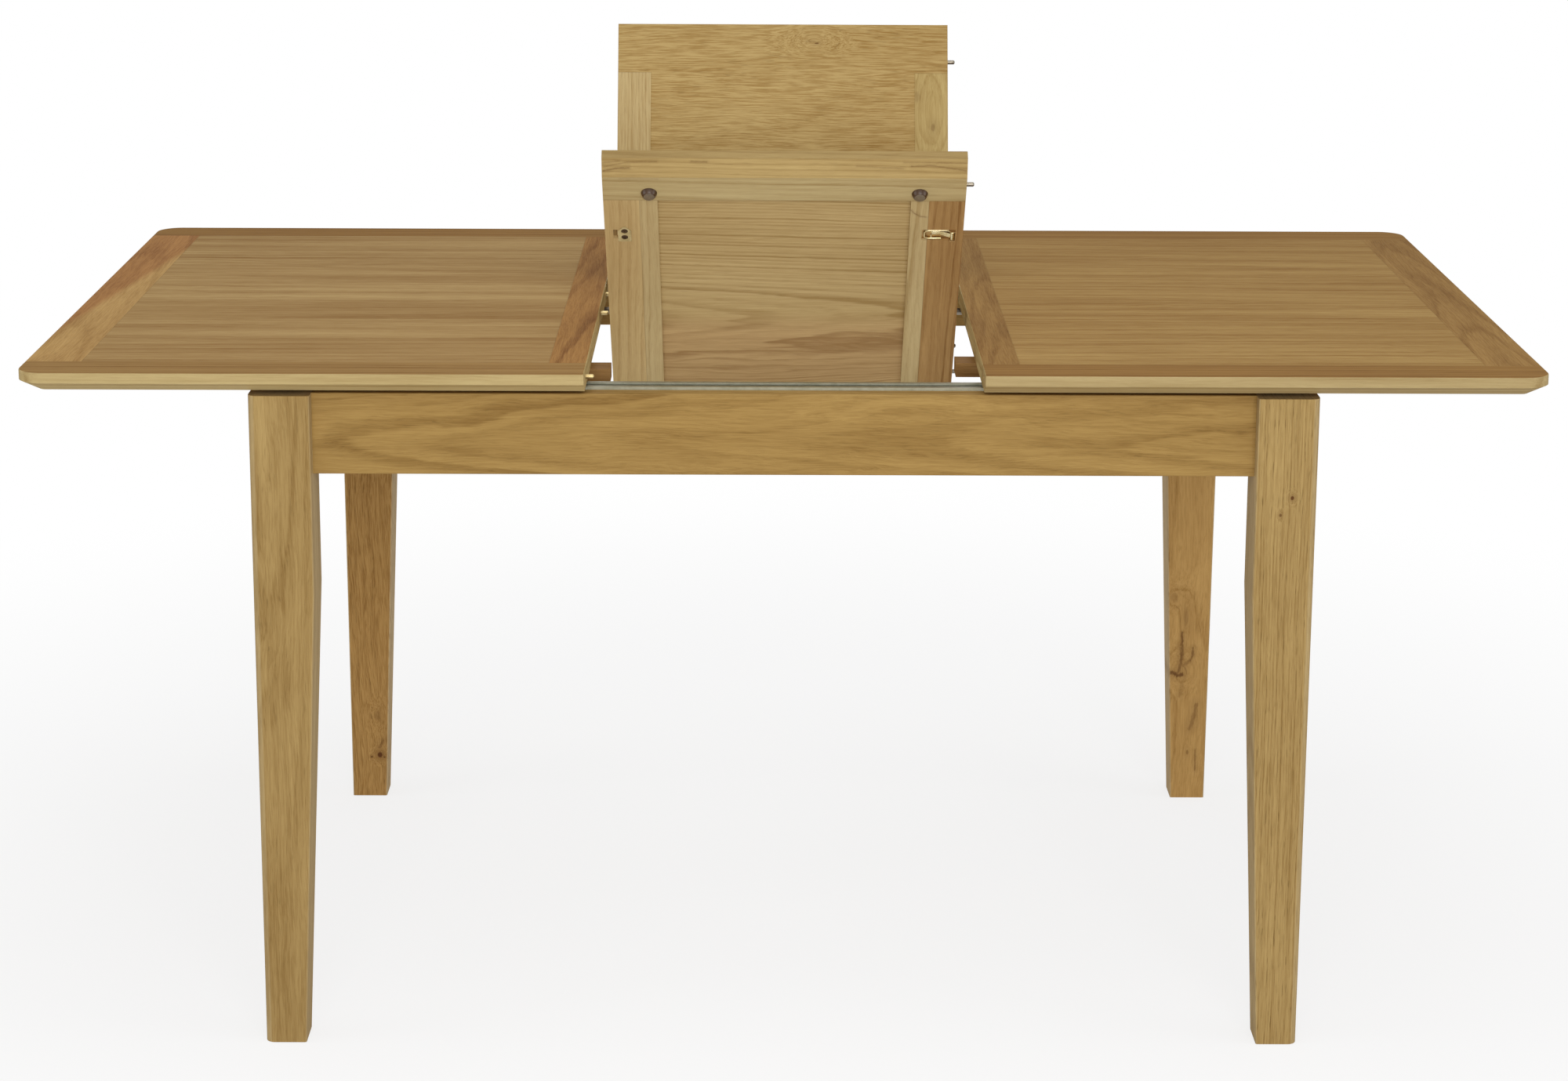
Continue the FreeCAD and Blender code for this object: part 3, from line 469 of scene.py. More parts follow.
# the knots and cracks of a board: the grain's space with the rings pushed aside, and how dark each point is
def boardFaults(spec, board):
    vector = board
    heart = None
    for knot in spec.get("knots", []):
        found = placeGroup(knotGroup, {
            "Vector": vector, "Centre": (*knot["at"], 0.0), "Length": knot["long"], "Width": knot["wide"],
            "Lift": knot["lift"]})
        vector = found["Vector"]
        halo = times(found["Halo"], knot["dark"] * knotLook["haloShare"])
        heart = darkest(heart, timesPlus(found["Heart"], knot["dark"], halo))
    for crack in spec.get("cracks", []):
        for first, second in zip(crack["path"], crack["path"][1:]):
            found = placeGroup(crackGroup, {"Vector": board, "From": (*first, 0.0),
                                            "To": (*second, 0.0), "Half": crack["half"]})
            heart = darkest(heart, times(found["Mask"], crack["dark"]))
    return vector, heart


def oakMaterial(node, space, spec):
    spec = dict(plainGrain, **spec)
    material = newMaterial("oak_" + node)
    turn, middle, low, high = boardSpace(node, space, spec["grain"], spec["face"])
    coordinates = addNode("TexCoord").outputs
    board = addNode("Mapping", {"Vector": coordinates["Object"], "Location": middle,
                                "Rotation": turn.to_euler()}, vector_type="TEXTURE").outputs[0]
    away = space.to_3x3() @ axisVectors[spec["face"]]
    palette, split = boardPalette(spec, board, coordinates["Normal"], away)
    vector, heart = boardFaults(spec, board)
    staves = None
    if "staves" in spec:
        staves = placeGroup(staveGroup, {"Vector": vector, "Width": spec["staves"], "Seed": spec["seed"]})
        vector = staves["Vector"]
    pithDepth, pithShift, pithTilt = spec["pith"]
    inputs = {name.capitalize(): spec[name] for name in plainGrain}
    oak = placeGroup(oakGroup, dict(inputs, **{
        "Vector": vector, "Seed": spec["seed"], "Ring Spacing": spec["rings"], "Pith Depth": pithDepth,
        "Pith Shift": pithShift, "Pith Tilt": pithTilt, "Pale": palette["pale"], "Deep": palette["deep"],
        "Pore Colour": palette["pore"]}))
    colour = oak["Color"]
    if staves:
        shade = times(staves["Tone"], staveLook["shade"])
        colour = mixColours(shade, colour, palette["deep"])
        glue = times(staves["Line"], staveLook["lineDark"])
        colour = mixColours(glue, colour, palette["pore"])
    if heart is not None:
        colour = mixColours(heart, colour, knotLook["colour"])
    meets = spec.get("meets", "")
    far = jointLook["far"]
    least = [low[i] if axis + "-" in meets else -far for i, axis in enumerate("xy")] + [-far]
    most = [high[i] if axis + "+" in meets else far for i, axis in enumerate("xy")] + [far]
    line = placeGroup(jointGroup, {"Vector": board, "Low": least, "High": most})["Line"]
    line = times(darkest(split, line), jointLook["dark"])
    colour = mixColours(line, colour, oakTones[spec["tone"]]["pore"])
    finishMaterial(oak["Height"], lacquer["poreDepth"], lacquer["bump"], {
        "Base Color": colour, "Roughness": plus(oak["Roughness"], lacquer["roughness"]),
        "Specular IOR Level": lacquer["specular"], "Coat Weight": lacquer["coat"],
        "Coat Roughness": lacquer["coatRoughness"]})
    return material


def dress(node, material):
    data = nodes[node].data
    data.materials.clear()
    data.materials.append(material)


def knot(x, y, long, wide, dark, lift):  # metres, along and across the board from its middle
    return dict(at=(x, y), long=long, wide=wide, dark=dark, lift=lift)


def crack(half, dark, *path):
    return dict(half=half, dark=dark, path=path)


# each set of boards counts its seeds up from here
firstSeeds = dict(tops=1.7, nextTop=5, frame=20.3, leaf=40.9)

# the tops: veneered panel with the grain along the table, solid strips round it
# the strips' edge faces take the paler edge tone, partly painted light
longStrip = dict(edge="edge", grain="x", face="z", rings=0.009, sway=0.012, figure=0.5, bands=1.0,
                 streaks=1.0, fibres=0.4, pores=0.2)
crossStrip = dict(edge="edge", grain="y", face="z", sway=0.02, bands=0.8, streaks=0.9, fibres=0.8,
                  pores=0.3, meets="x-x+")
topBoards = {
    "panel": dict(tone="top", grain="x", face="z", rings=0.012, pith=(0.4, 0.1, 0.02), sway=0.02,
                  staves=0.112, figure=0.24, bands=1.05, streaks=1.1, fibres=0.7, pores=0.15,
                  meets="x-x+y-y+"),
    "front_strip": dict(longStrip, tone="topFront", pith=(0.02, 0.12, 0.01)),
    "rear_strip": dict(longStrip, tone="topDeep", pith=(0.02, -0.12, 0.01), meets="y-"),
    "end_strip": dict(crossStrip, tone="topEnd", rings=0.009, pith=(0.05, 0.01, 0.04), figure=0.45),
    "inner_strip": dict(crossStrip, tone="topInner", rings=0.008, pith=(0.05, -0.02, 0.05), figure=0.6,
                        flecks=0.1),
}
# red heartwood runs along the rear and outer side of the left end strip; the right one is brown all over
ownBoards = {
    "left_top_end_strip": dict(second=dict(slope=(0.12, 1.0), past=0.002, soft=0.008, tone="topRed")),
    "right_top_end_strip": dict(tone="topBrown"),
    "right_top_front_strip": dict(tone="topDeep", edge="edgeDeep"),
    "right_top_panel": dict(tone="topGold", figure=0.22, bands=0.9),
    "right_top_inner_strip": dict(tone="topBrown", figure=0.35),
}
for number, side in enumerate(("left", "right")):
    for place, (board, spec) in enumerate(topBoards.items()):
        node = f"{side}_top_{board}"
        seed = firstSeeds["tops"] + firstSeeds["nextTop"] * number + place
        own = dict(dict(spec, **ownBoards.get(node, {})), seed=seed)
        dress(node, oakMaterial(node, tableSpace, own))
print("tops dressed")

# the frame: solid legs with the grain upright, aprons along, blocks and rails unfinished; the leaf rests'
# darker tone is painted shade from the leaf over them
# the legs' side faces take the paler side tones: painted light
frontLeg = dict(tone="leg", edge="legSide", grain="z", face="y", streaks=0.9)
rearLeg = dict(edge="rearSide", grain="z", face="y", rings=0.006, sway=0.03)
apron = dict(tone="apron", rings=0.009, sway=0.04, figure=0.5, bands=0.7, streaks=0.7, fibres=0.6,
             pores=0.3)
longApron = dict(apron, grain="x", face="y")
endApron = dict(apron, grain="y", face="x")
crossRail = dict(tone="hidden", grain="y", face="z", rings=0.006)
leafRest = dict(tone="block", grain="x", face="y", rings=0.005)
rearRightCracks = [
    crack(0.0014, 0.78, (-0.133, -0.0034), (-0.157, -0.0028), (-0.1706, -0.0034)),
    crack(0.0026, 0.66, (-0.15, -0.003), (-0.1706, -0.0034), (-0.182, -0.0051), (-0.1905, -0.0081)),
    crack(0.005, 0.32, (-0.165, -0.0032), (-0.188, -0.0068)),
    crack(0.003, 0.85, (-0.1886, -0.0153), (-0.1927, -0.0085), (-0.1922, -0.0021)),
    crack(0.0017, 0.66, (-0.1544, 0.0117), (-0.165, 0.0113), (-0.1718, 0.0085)),
    crack(0.0026, 0.5, (-0.1718, 0.0085), (-0.1756, 0.003), (-0.1792, 0.0)),
    crack(0.001, 0.45, (-0.1792, 0.0), (-0.1846, 0.003), (-0.1909, 0.0043)),
    crack(0.003, 0.5, (-0.234, 0.019), (-0.252, 0.016), (-0.268, 0.011)),
    crack(0.0011, 0.55, (-0.2986, 0.0196), (-0.3276, 0.02)),
    crack(0.0035, 0.25, (-0.198, 0.0), (-0.222, -0.004)),
]
frameBoards = {
    "leg_front_left": dict(frontLeg, rings=0.006, pith=(-0.03, -0.006, 0.02), sway=0.03, figure=0.26,
                           bands=0.8, fibres=0.55, pores=0.3),
    "leg_front_right": dict(
        frontLeg, rings=0.0035, pith=(0.01, 0.16, 0.012), sway=0.008, figure=0.3, bands=0.5, fibres=0.7,
        pores=0.6, knots=[knot(0.258, 0.006, 0.003, 0.0024, 0.75, 0.012),
                          knot(0.239, -0.006, 0.0024, 0.0016, 0.6, 0.006)]),
    "leg_rear_left": dict(
        rearLeg, tone="rearLeft", pith=(-0.09, 0.05, 0.02), figure=0.22, bands=0.6, streaks=0.7,
        fibres=1.4, pores=0.6,
        knots=[knot(-0.308, 0.004, 0.0042, 0.0038, 0.95, 0.03),
               knot(-0.311, -0.007, 0.0018, 0.0016, 0.7, 0.004),
               knot(-0.3115, 0.010, 0.0016, 0.0018, 0.6, 0.003),
               knot(-0.2525, 0.002, 0.009, 0.006, 0.2, 0.012)],
        cracks=[crack(0.002, 0.5, (-0.288, 0.009), (-0.298, 0.0035))]),
    "leg_rear_right": dict(
        rearLeg, tone="rearRight", pith=(-0.07, 0.02, 0.02), figure=0.35, bands=0.7, streaks=0.8,
        fibres=0.7, pores=0.4,
        knots=[knot(-0.112, 0.001, 0.016, 0.004, 0.3, 0.012),
               knot(-0.084, -0.016, 0.008, 0.007, 0.2, 0.012),
               knot(-0.186, -0.002, 0.012, 0.009, 0.12, 0.02),
               knot(-0.3015, 0.009, 0.004, 0.002, 0.4, 0.004)],
        cracks=rearRightCracks),
    "apron_front": dict(longApron, pith=(-0.05, 0.004, 0.05)),
    "apron_rear": dict(longApron, pith=(0.05, 0.004, 0.05)),
    "apron_left": dict(endApron, pith=(-0.05, 0.004, 0.05)),
    "apron_right": dict(endApron, pith=(0.05, 0.004, 0.05)),
    "corner_blocks": dict(tone="hidden", grain="x", face="z", rings=0.006, pith=(0.1, 0.1, 0.02)),
    "cross_rail_left": dict(crossRail, pith=(0.08, 0.03, 0.02)),
    "cross_rail_right": dict(crossRail, pith=(0.08, -0.03, 0.02)),
    "left_top_leaf_rests": dict(leafRest, pith=(0.03, 0.02, 0.02)),
    "right_top_leaf_rests": dict(leafRest, pith=(0.03, -0.02, 0.02)),
}
for number, (node, spec) in enumerate(frameBoards.items()):
    dress(node, oakMaterial(node, tableSpace, dict(spec, seed=firstSeeds["frame"] + number)))
print("frame dressed")

# the leaf's halves, in their own turned spaces
rearFace = dict(tone="leaf", grain="x", face="z", rings=0.009, sway=0.022, figure=0.17, bands=0.4,
                streaks=0.6, fibres=1.5, pores=0.4)
rearStile = dict(grain="y", face="z", rings=0.004, bands=0.5, pores=0.3, meets="x-x+")
frontStile = dict(grain="y", face="z", rings=0.007, pith=(0.05, 0.05, 0.03), sway=0.025, fibres=0.4,
                  pores=0.2, meets="x-x+")
railLines = [
    crack(0.0008, 0.34, (-0.199, -0.0246), (-0.18, -0.0262)),
    crack(0.0009, 0.5, (-0.198, -0.016), (-0.185, -0.0185), (-0.17, -0.0193)),
    crack(0.0008, 0.3, (-0.198, -0.0201), (-0.172, -0.0252), (-0.14, -0.0258)),
    crack(0.0008, 0.4, (-0.102, -0.0258), (-0.085, -0.0258)),
    crack(0.0009, 0.4, (0.139, -0.0217), (0.162, -0.0226), (0.198, -0.0176)),
    crack(0.0007, 0.3, (0.13, -0.0258), (0.198, -0.0252)),
    crack(0.0008, 0.28, (0.079, -0.0217), (0.13, -0.0193)),
    crack(0.002, 0.15, (-0.18, -0.007), (-0.14, -0.006)),
]
leafBoards = {
    "rear_leaf_panel": dict(rearFace, pith=(0.3, 0.2, 0.03), meets="x-x+"),
    "rear_leaf_outer_rail": dict(
        rearFace, pith=(0.3, 0.05, 0.03),
        knots=[knot(0.038, 0.009, 0.014, 0.0065, 0.0, 0.028),
               knot(0.041, 0.0065, 0.0034, 0.0013, 0.6, 0.0),
               knot(0.034, 0.009, 0.008, 0.0016, 0.22, 0.0)]),
    "rear_leaf_left_stile": dict(rearStile, tone="leafPale", pith=(0.02, 0.12, 0.01), sway=0.012,
                                 figure=0.4, streaks=0.8, fibres=0.7),
    "rear_leaf_right_stile": dict(
        rearStile, tone="leafGreen", pith=(0.05, 0.0, 0.03), sway=0.03, figure=0.45, streaks=0.7,
        fibres=0.5, knots=[knot(0.146, -0.009, 0.03, 0.009, 0.0, 0.02),
                           knot(0.128, -0.012, 0.006, 0.003, 0.3, 0.0),
                           knot(0.166, 0.008, 0.008, 0.006, 0.2, 0.0)]),
    "front_leaf_panel": dict(
        tone="leafUnder", show="leaf", grain="x", face="z", rings=0.0045, pith=(0.14, 0.03, 0.035),
        sway=0.03, figure=0.6, bands=0.8, streaks=0.8, fibres=0.45, pores=0.2, meets="x-x+y-y+",
        # past this soft line, toward the panel's lower part, the darker warmer tone is painted shade
        second=dict(slope=(0, 1), past=0.035, soft=0.025, tone="leafLowShade")),
    "front_leaf_outer_rail": dict(
        tone="leafRail", show="leaf", edge="leafBevel", grain="x", face="z", rings=0.006,
        pith=(0.05, 0.04, 0.03), sway=0.02, figure=0.5, bands=0.8, streaks=0.8, fibres=0.4, pores=0.2,
        meets="y-y+", cracks=railLines),
    "front_leaf_left_stile": dict(frontStile, tone="leafMid", show="leafPale", figure=0.35, bands=0.8,
                                  streaks=0.7, second=dict(slope=(0, -1), past=0.01, tone="leafPale")),
    "front_leaf_right_stile": dict(
        frontStile, tone="leafRed", show="leaf", figure=0.5, bands=0.9, streaks=0.9,
        second=dict(slope=(0, 1), past=0.01, tone="leafPale"),
        cracks=[crack(0.0007, 0.5, (-0.179, 0.0295), (-0.1735, 0.026), (-0.168, 0.019), (-0.167, 0.0125))]),
}
for number, (node, spec) in enumerate(leafBoards.items()):
    half = node.split("_")[0]
    dress(node, oakMaterial(node, leafSpaces[half], dict(spec, seed=firstSeeds["leaf"] + number)))
print("leaf dressed")

# metal and rubber fittings, in colours as a screen shows them
metals = {
    "zinc": dict(bright=(168, 164, 154), tint=(128, 122, 110), drawn=0.3, roughness=0.3),
    "pinSteel": dict(bright=(142, 134, 120), tint=(104, 97, 86), drawn=0.2, roughness=0.34),
    "runner": dict(bright=(160, 158, 140), tint=(146, 145, 126), drawn=0.05, stain=0.05, roughness=0.45),
    "yellowZinc": dict(bright=(226, 212, 168), tint=(190, 168, 116), drawn=0.2, roughness=0.26),
    "brass": dict(bright=(196, 162, 100), tint=(158, 122, 68), drawn=0.3, roughness=0.32),
    "agedZinc": dict(bright=(204, 184, 134), tint=(168, 146, 98), drawn=0.2, roughness=0.4),
    # clipFloor: paler than the plate itself, painted light that lifts it out of the recess's shade
    "clipFloor": dict(bright=(196, 162, 108), tint=(164, 130, 82), drawn=0.2, roughness=0.5),
    # dark: on the front leaf's screws this is painted shade, the same screws elsewhere being zinc; on the
    # pivot arms a brown as dark as the arms look in shade, partly painted shade
    "dark": dict(bright=(104, 82, 58), tint=(74, 56, 38), drawn=0.2, roughness=0.45),
}


def metalMaterial(name):
    spec = metals[name]
    material = newMaterial(name)
    inputs = {"Vector": addNode("TexCoord").outputs["Object"],
              "Seed": len(name) * metalLook["seedStep"], "Bright": fromScreen(*spec["bright"]),
              "Tint": fromScreen(*spec["tint"]), "Drawn": spec["drawn"], "Roughness": spec["roughness"]}
    if "stain" in spec:
        inputs["Stain"] = spec["stain"]
    metal = placeGroup(metalGroup, inputs)
    finishMaterial(metal["Height"], metalLook["bumpDeep"], metalLook["bump"], {
        "Base Color": metal["Color"], "Roughness": metal["Roughness"], "Metallic": 1.0})
    return material


# brown rubber with dust over it, the face that meets the table paler and the sides darker: painted light,
# the face drawn lit and the sides drawn in shade
rubberLook = dict(face=(100, 82, 54), dustyFace=(122, 102, 70), faceDust=0.5, side=(62, 38, 14),
                  # worn: the range of face direction where the paler, painted-light face colour begins
                  dustySide=(84, 58, 30), sideDust=0.4, worn=(0.75, 0.98), dust=(0.4, 0.75),
                  dustScale=(300, 300, 300), skinScale=(2400, 2400, 2400), bumpDeep=0.00006, bump=0.3,
                  roughness=0.34, specular=0.45)


def rubberMaterial(name, space):
    look = rubberLook
    material = newMaterial(name)
    coordinates = addNode("TexCoord").outputs
    away = space.to_3x3() @ Vector((0, 0, -1))
    facing = vectorMath("DOT_PRODUCT", coordinates["Normal"], away)
    dust = softStep(noiseAt(coordinates["Object"], look["dustScale"], 4, 0.6), *look["dust"])
    pale = mixColours(times(dust, look["faceDust"]), fromScreen(*look["face"]),
                      fromScreen(*look["dustyFace"]))
    dark = mixColours(times(dust, look["sideDust"]), fromScreen(*look["side"]),
                      fromScreen(*look["dustySide"]))
    # paler face and darker sides, by face direction: painted light and shade
    colour = mixColours(softStep(facing, *look["worn"]), dark, pale)
    height = noiseAt(coordinates["Object"], look["skinScale"])
    finishMaterial(height, look["bumpDeep"], look["bump"], {
        "Base Color": colour, "Roughness": look["roughness"], "Specular IOR Level": look["specular"]})
    return material


metalOf = {name: metalMaterial(name) for name in metals}
rubberOf = {half: rubberMaterial(half + "Rubber", space) for half, space in leafSpaces.items()}
fittingFinishes = {
    "zinc": ["leg_bolts", "frame_screws", "left_top_screws", "right_top_screws", "rear_leaf_screws",
             "front_leaf_screws", "hinge_pins"],
    "pinSteel": ["pivot_pins", "rear_leaf_pins", "front_leaf_pins"],
    "runner": ["slide_channel_front", "slide_channel_rear", "left_top_slide_bars", "right_top_slide_bars"],
    # the pivot arms' dark brown is partly painted shade
    "dark": ["rear_leaf_pivot_arms"],
    "clipFloor": ["left_top_clip_base", "front_leaf_clip_base"],
    "brass": ["right_top_sockets", "rear_leaf_sockets", "front_leaf_sockets", "rear_leaf_hinge_plates",
              "front_leaf_hinge_plates"],
    "agedZinc": ["left_top_pins"],
    "yellowZinc": ["left_top_clip_lever", "right_top_keeper", "front_leaf_keeper", "front_leaf_clip_lever"],
}
for finish, members in fittingFinishes.items():
    for node in members:
        dress(node, metalOf[finish])
for half, rubber in rubberOf.items():
    dress(half + "_leaf_bumpers", rubber)
print("fittings dressed")

# small made pieces: points in millimetres in a fitting's own space, X right, Z into the wood
sharpAngle = math.radians(38)


def addPiece(name, parts, space, material, body, stands):
    points = []
    faces = []
    for own, ownFaces in parts:
        start = len(points)
        points += [space @ (Vector(point) * millimetre) for point in own]
        faces += [[start + index for index in face] for face in ownFaces]
    mesh = bpy.data.meshes.new(name)
    mesh.from_pydata(points, [], faces)
    shape = bmesh.new()
    shape.from_mesh(mesh)
    bmesh.ops.recalc_face_normals(shape, faces=shape.faces)
    shape.to_mesh(mesh)
    shape.free()
    mesh.polygons.foreach_set("use_smooth", [True] * len(mesh.polygons))
    mesh.set_sharp_from_angle(angle=sharpAngle)
    mesh.materials.append(material)
    piece = addObject(name, mesh)
    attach(piece, body)
    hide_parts(*stands)


# rings of points joined into a closed skin with a face on each end
def skin(rings):
    sides = len(rings[0])
    points = [point for ring in rings for point in ring]
    faces = []
    for step in range(len(rings) - 1):
        low = step * sides
        high = low + sides
        for side in range(sides):
            after = (side + 1) % sides
            faces.append([low + side, low + after, high + after, high + side])
    faces.append(list(range(sides)))
    faces.append([len(points) - sides + side for side in range(sides)])
    return points, faces


# a section carried along a path; each row of the section is (across, off), across lying along "flat"
def sweep(path, sections, flat):
    rings = []
    across = Vector(flat)
    for step, point in enumerate(path):
        before = Vector(path[max(step - 1, 0)])
        after = Vector(path[min(step + 1, len(path) - 1)])
        off = (after - before).normalized().cross(across)
        rings.append([Vector(point) + across * a + off * b for a, b in sections[step]])
    return skin(rings)


def arc(centre, radius, start, end, steps):
    angles = [math.radians(start + (end - start) * step / steps) for step in range(steps + 1)]
    return [(centre[0] + radius * math.cos(angle), centre[1] + radius * math.sin(angle))
            for angle in angles]


def circle(centre, radius, sides):
    return arc(centre, radius, 0, 360 - 360 / sides, sides - 1)


def stripSection(half, thick, ease=0.25):
    high = thick / 2
    return [(half, high - ease), (half - ease, high), (ease - half, high), (-half, high - ease),
            (-half, ease - high), (ease - half, -high), (half - ease, -high), (half, ease - high)]


def turned(profile, centre, sides=28):
    return skin([[(x, y, centre[2] + z) for x, y in circle(centre, radius, sides)]
                 for radius, z in profile])


wireSides = 12

# the flip-over lever: a bright barrel on the hub, a wire bail bent round from it, and a slanting tongue
# whose end turns down into a hook
lever = dict(
    wire=1.2, half=6.9, bend=4.6, bendSteps=7, far=-31.0, short=-12.5, lift=1.3,
    bailRoot=[(-0.5, -3.6), (-2.5, -5.6)], straight=-5.0,
    barrel=2.4, barrelHalf=6.6, barrelEase=0.6, barrelSides=24, thick=0.9,
    tonguePath=[(-1.0, 2.2, 0.7), (-8.0, -1.3, 0.6), (-17.0, -4.6, 0.5)], tongueHalves=(3.0, 3.0, 1.8),
    tongueFlat=(0.42, -0.907, 0), hookHalf=2.4,
    hookPath=[(-15.5, -3.0, 0.9), (-23.0, -3.0, 0.9), (-23.8, -3.0, 0.5), (-24.0, -3.0, -0.4),
              (-24.0, -3.0, -3.9)])


def leverParts():
    half = lever["half"]
    bend = lever["bend"]
    steps = lever["bendSteps"]
    middle = lever["far"] + bend
    line = lever["bailRoot"] + [(lever["straight"], -half)]
    line += arc((middle, bend - half), bend, -90, -180, steps)
    line += arc((middle, half - bend), bend, 180, 90, steps)
    line.append((lever["short"], half))
    wire = circle(origin, lever["wire"], wireSides)
    bail = sweep([(x, y, lever["lift"]) for x, y in line], [wire] * len(line), (0, 0, 1))
    strips = [stripSection(width, lever["thick"]) for width in lever["tongueHalves"]]
    tongue = sweep(lever["tonguePath"], strips, lever["tongueFlat"])
    strip = stripSection(lever["hookHalf"], lever["thick"])
    hook = sweep(lever["hookPath"], [strip] * len(lever["hookPath"]), (0, 1, 0))
    radius = lever["barrel"]
    ends = lever["barrelHalf"]
    ease = lever["barrelEase"]
    profile = [(radius - ease, -ends), (radius, ease - ends), (radius, ends - ease), (radius - ease, ends)]
    points, faces = turned(profile, origin, lever["barrelSides"])
    barrel = ([(x, z, -y) for x, y, z in points], faces)
    return [bail, tongue, hook, barrel]


# the keeper: a shield let in flush with two screw holes, and a rolled lip where the hook's slot begins
keeper = dict(half=7.4, apex=-12.9, shoulder=-6.0, foot=12.9, tip=1.0, cornerRound=1.4, cornerSteps=4,
              thick=1.4, proud=0.25, screwOut=5.3, hole=3.8, holeSides=24, lip=0.7, lipOut=0.3, lipSunk=0.2,
              lipFrom=-7.0, lipTo=1.0)


def filledPlate(outline, holes, low, high):
    shape = bmesh.new()
    edges = []
    for loop in [outline] + holes:
        corners = [shape.verts.new((x, y, low)) for x, y in loop]
        edges += [shape.edges.new((corners[i - 1], corners[i])) for i in range(len(corners))]
    filled = bmesh.ops.triangle_fill(shape, edges=edges, use_beauty=True)
    flat = [item for item in filled["geom"] if isinstance(item, bmesh.types.BMFace)]
    raised = bmesh.ops.extrude_face_region(shape, geom=flat)
    for item in raised["geom"]:
        if isinstance(item, bmesh.types.BMVert):
            item.co.z = high
    shape.verts.index_update()
    points = [tuple(vertex.co) for vertex in shape.verts]
    faces = [[vertex.index for vertex in face.verts] for face in shape.faces]
    shape.free()
    return points, faces


def keeperParts():
    half = keeper["half"]
    corner = keeper["cornerRound"]
    foot = keeper["foot"] - corner
    steps = keeper["cornerSteps"]
    outline = [(-keeper["tip"], keeper["apex"]), (keeper["tip"], keeper["apex"])]
    outline.append((half, keeper["shoulder"]))
    outline += arc((half - corner, foot), corner, 0, 90, steps)
    outline += arc((corner - half, foot), corner, 90, 180, steps)
    outline.append((-half, keeper["shoulder"]))
    holes = [circle((0, side * keeper["screwOut"]), keeper["hole"], keeper["holeSides"])
             for side in (-1, 1)]
    plate = filledPlate(outline, holes, -keeper["proud"], keeper["thick"])
    line = [(-half - keeper["lipOut"], y, keeper["lipSunk"]) for y in (keeper["lipFrom"], keeper["lipTo"])]
    return [plate, sweep(line, [circle(origin, keeper["lip"], wireSides)] * 2, (0, 0, 1))]


# rubber bumper: a turned foot with a soft rim and a slightly hollow face
bumper = dict(base=9.0, tip=6.5, high=5.7, belly=0.1, bellyAt=1.0, soft=0.9, hollow=0.3, rimDip=0.05,
              middle=0.5)


def bumperProfile():
    tip = bumper["tip"]
    top = bumper["high"]
    soft = bumper["soft"]
    floor = bumper["hollow"] - top
    slope = (bumper["base"] - tip) / top
    belly = bumper["base"] - slope * bumper["bellyAt"] + bumper["belly"]
    return [(bumper["base"], 0), (belly, -bumper["bellyAt"]), (tip + slope * soft, soft - top),
            (tip - soft * 0.15, soft * 0.3 - top), (tip - soft * 0.6, -top),
            (tip - soft, bumper["rimDip"] - top), (tip - soft * 2, floor), (bumper["middle"], floor)]


# a countersunk screw with a cross recess, along +Z from the middle of its head
crossScrew = dict(head=3.5, rim=0.7, shoulder=0.25, edgeDeep=0.1, neck=1.75, headHigh=1.5, sunk=0.03,
                  dish=0.08, crossHalf=2.1, crossWide=0.55, crossDeep=0.9, floorThick=0.2, tipLong=2.5,
                  tip=0.3, sides=30, endShare=0.02)


def screwParts(length):
    spec = crossScrew
    wide = spec["crossWide"]
    reach = spec["crossHalf"]
    deep = spec["crossDeep"]
    inner = spec["head"] - spec["rim"]
    cross = []
    for quarter in range(4):
        turn = Matrix.Rotation(quarter * math.pi / 2, 2)
        cross += [tuple(turn @ Vector(point)) for point in ((reach, -wide), (reach, wide), (wide, wide))]
    face = filledPlate(circle(origin, inner, spec["sides"]), [cross], spec["dish"], deep)
    floor = filledPlate(cross, [], deep, deep + spec["floorThick"])
    profile = [(inner, spec["dish"]), (spec["head"] - spec["shoulder"], spec["sunk"]),
               (spec["head"], spec["edgeDeep"]), (spec["neck"], spec["headHigh"]),
               (spec["neck"], length - spec["tipLong"]), (spec["tip"], length)]
    points, faces = turned(profile, origin, spec["sides"])
    ring = (points, [face for face in faces if len(face) == 4])
    return [face, floor, ring]


# the points of each loose solid in a node's mesh
def loosePieces(node):
    shape = bmesh.new()
    shape.from_mesh(nodes[node].data)
    bmesh.ops.remove_doubles(shape, verts=shape.verts, dist=1e-6)
    waiting = set(shape.verts)
    groups = []
    while waiting:
        fresh = [waiting.pop()]
        found = []
        while fresh:
            vertex = fresh.pop()
            found.append(vertex.co.copy())
            for edge in vertex.link_edges:
                other = edge.other_vert(vertex)
                if other in waiting:
                    waiting.remove(other)
                    fresh.append(other)
        groups.append(found)
    shape.free()
    return groups


# where a screw stands: its long side is its axis, and its wider end is the head
def screwSpace(points, space):
    turn = space.to_3x3()
    local = [turn.transposed() @ point for point in points]
    low, high = boxOf(local)
    axis = max(range(3), key=lambda i: high[i] - low[i])
    side = 1 if axis == 0 else 0
    long = high[axis] - low[axis]
    head = (low + high) / 2
    near = long * crossScrew["endShare"]
    spreads = [max(abs(point[side] - head[side]) for point in local if abs(point[axis] - end) < near)
               for end in (low[axis], high[axis])]
    headLow = spreads[0] > spreads[1]
    head[axis] = low[axis] if headLow else high[axis]
    along = Vector((0, 0, 0))
    along[axis] = 1 if headLow else -1
    place = Matrix.Translation(turn @ head) @ (turn @ along).to_track_quat("Z", "Y").to_matrix().to_4x4()
    return place, long


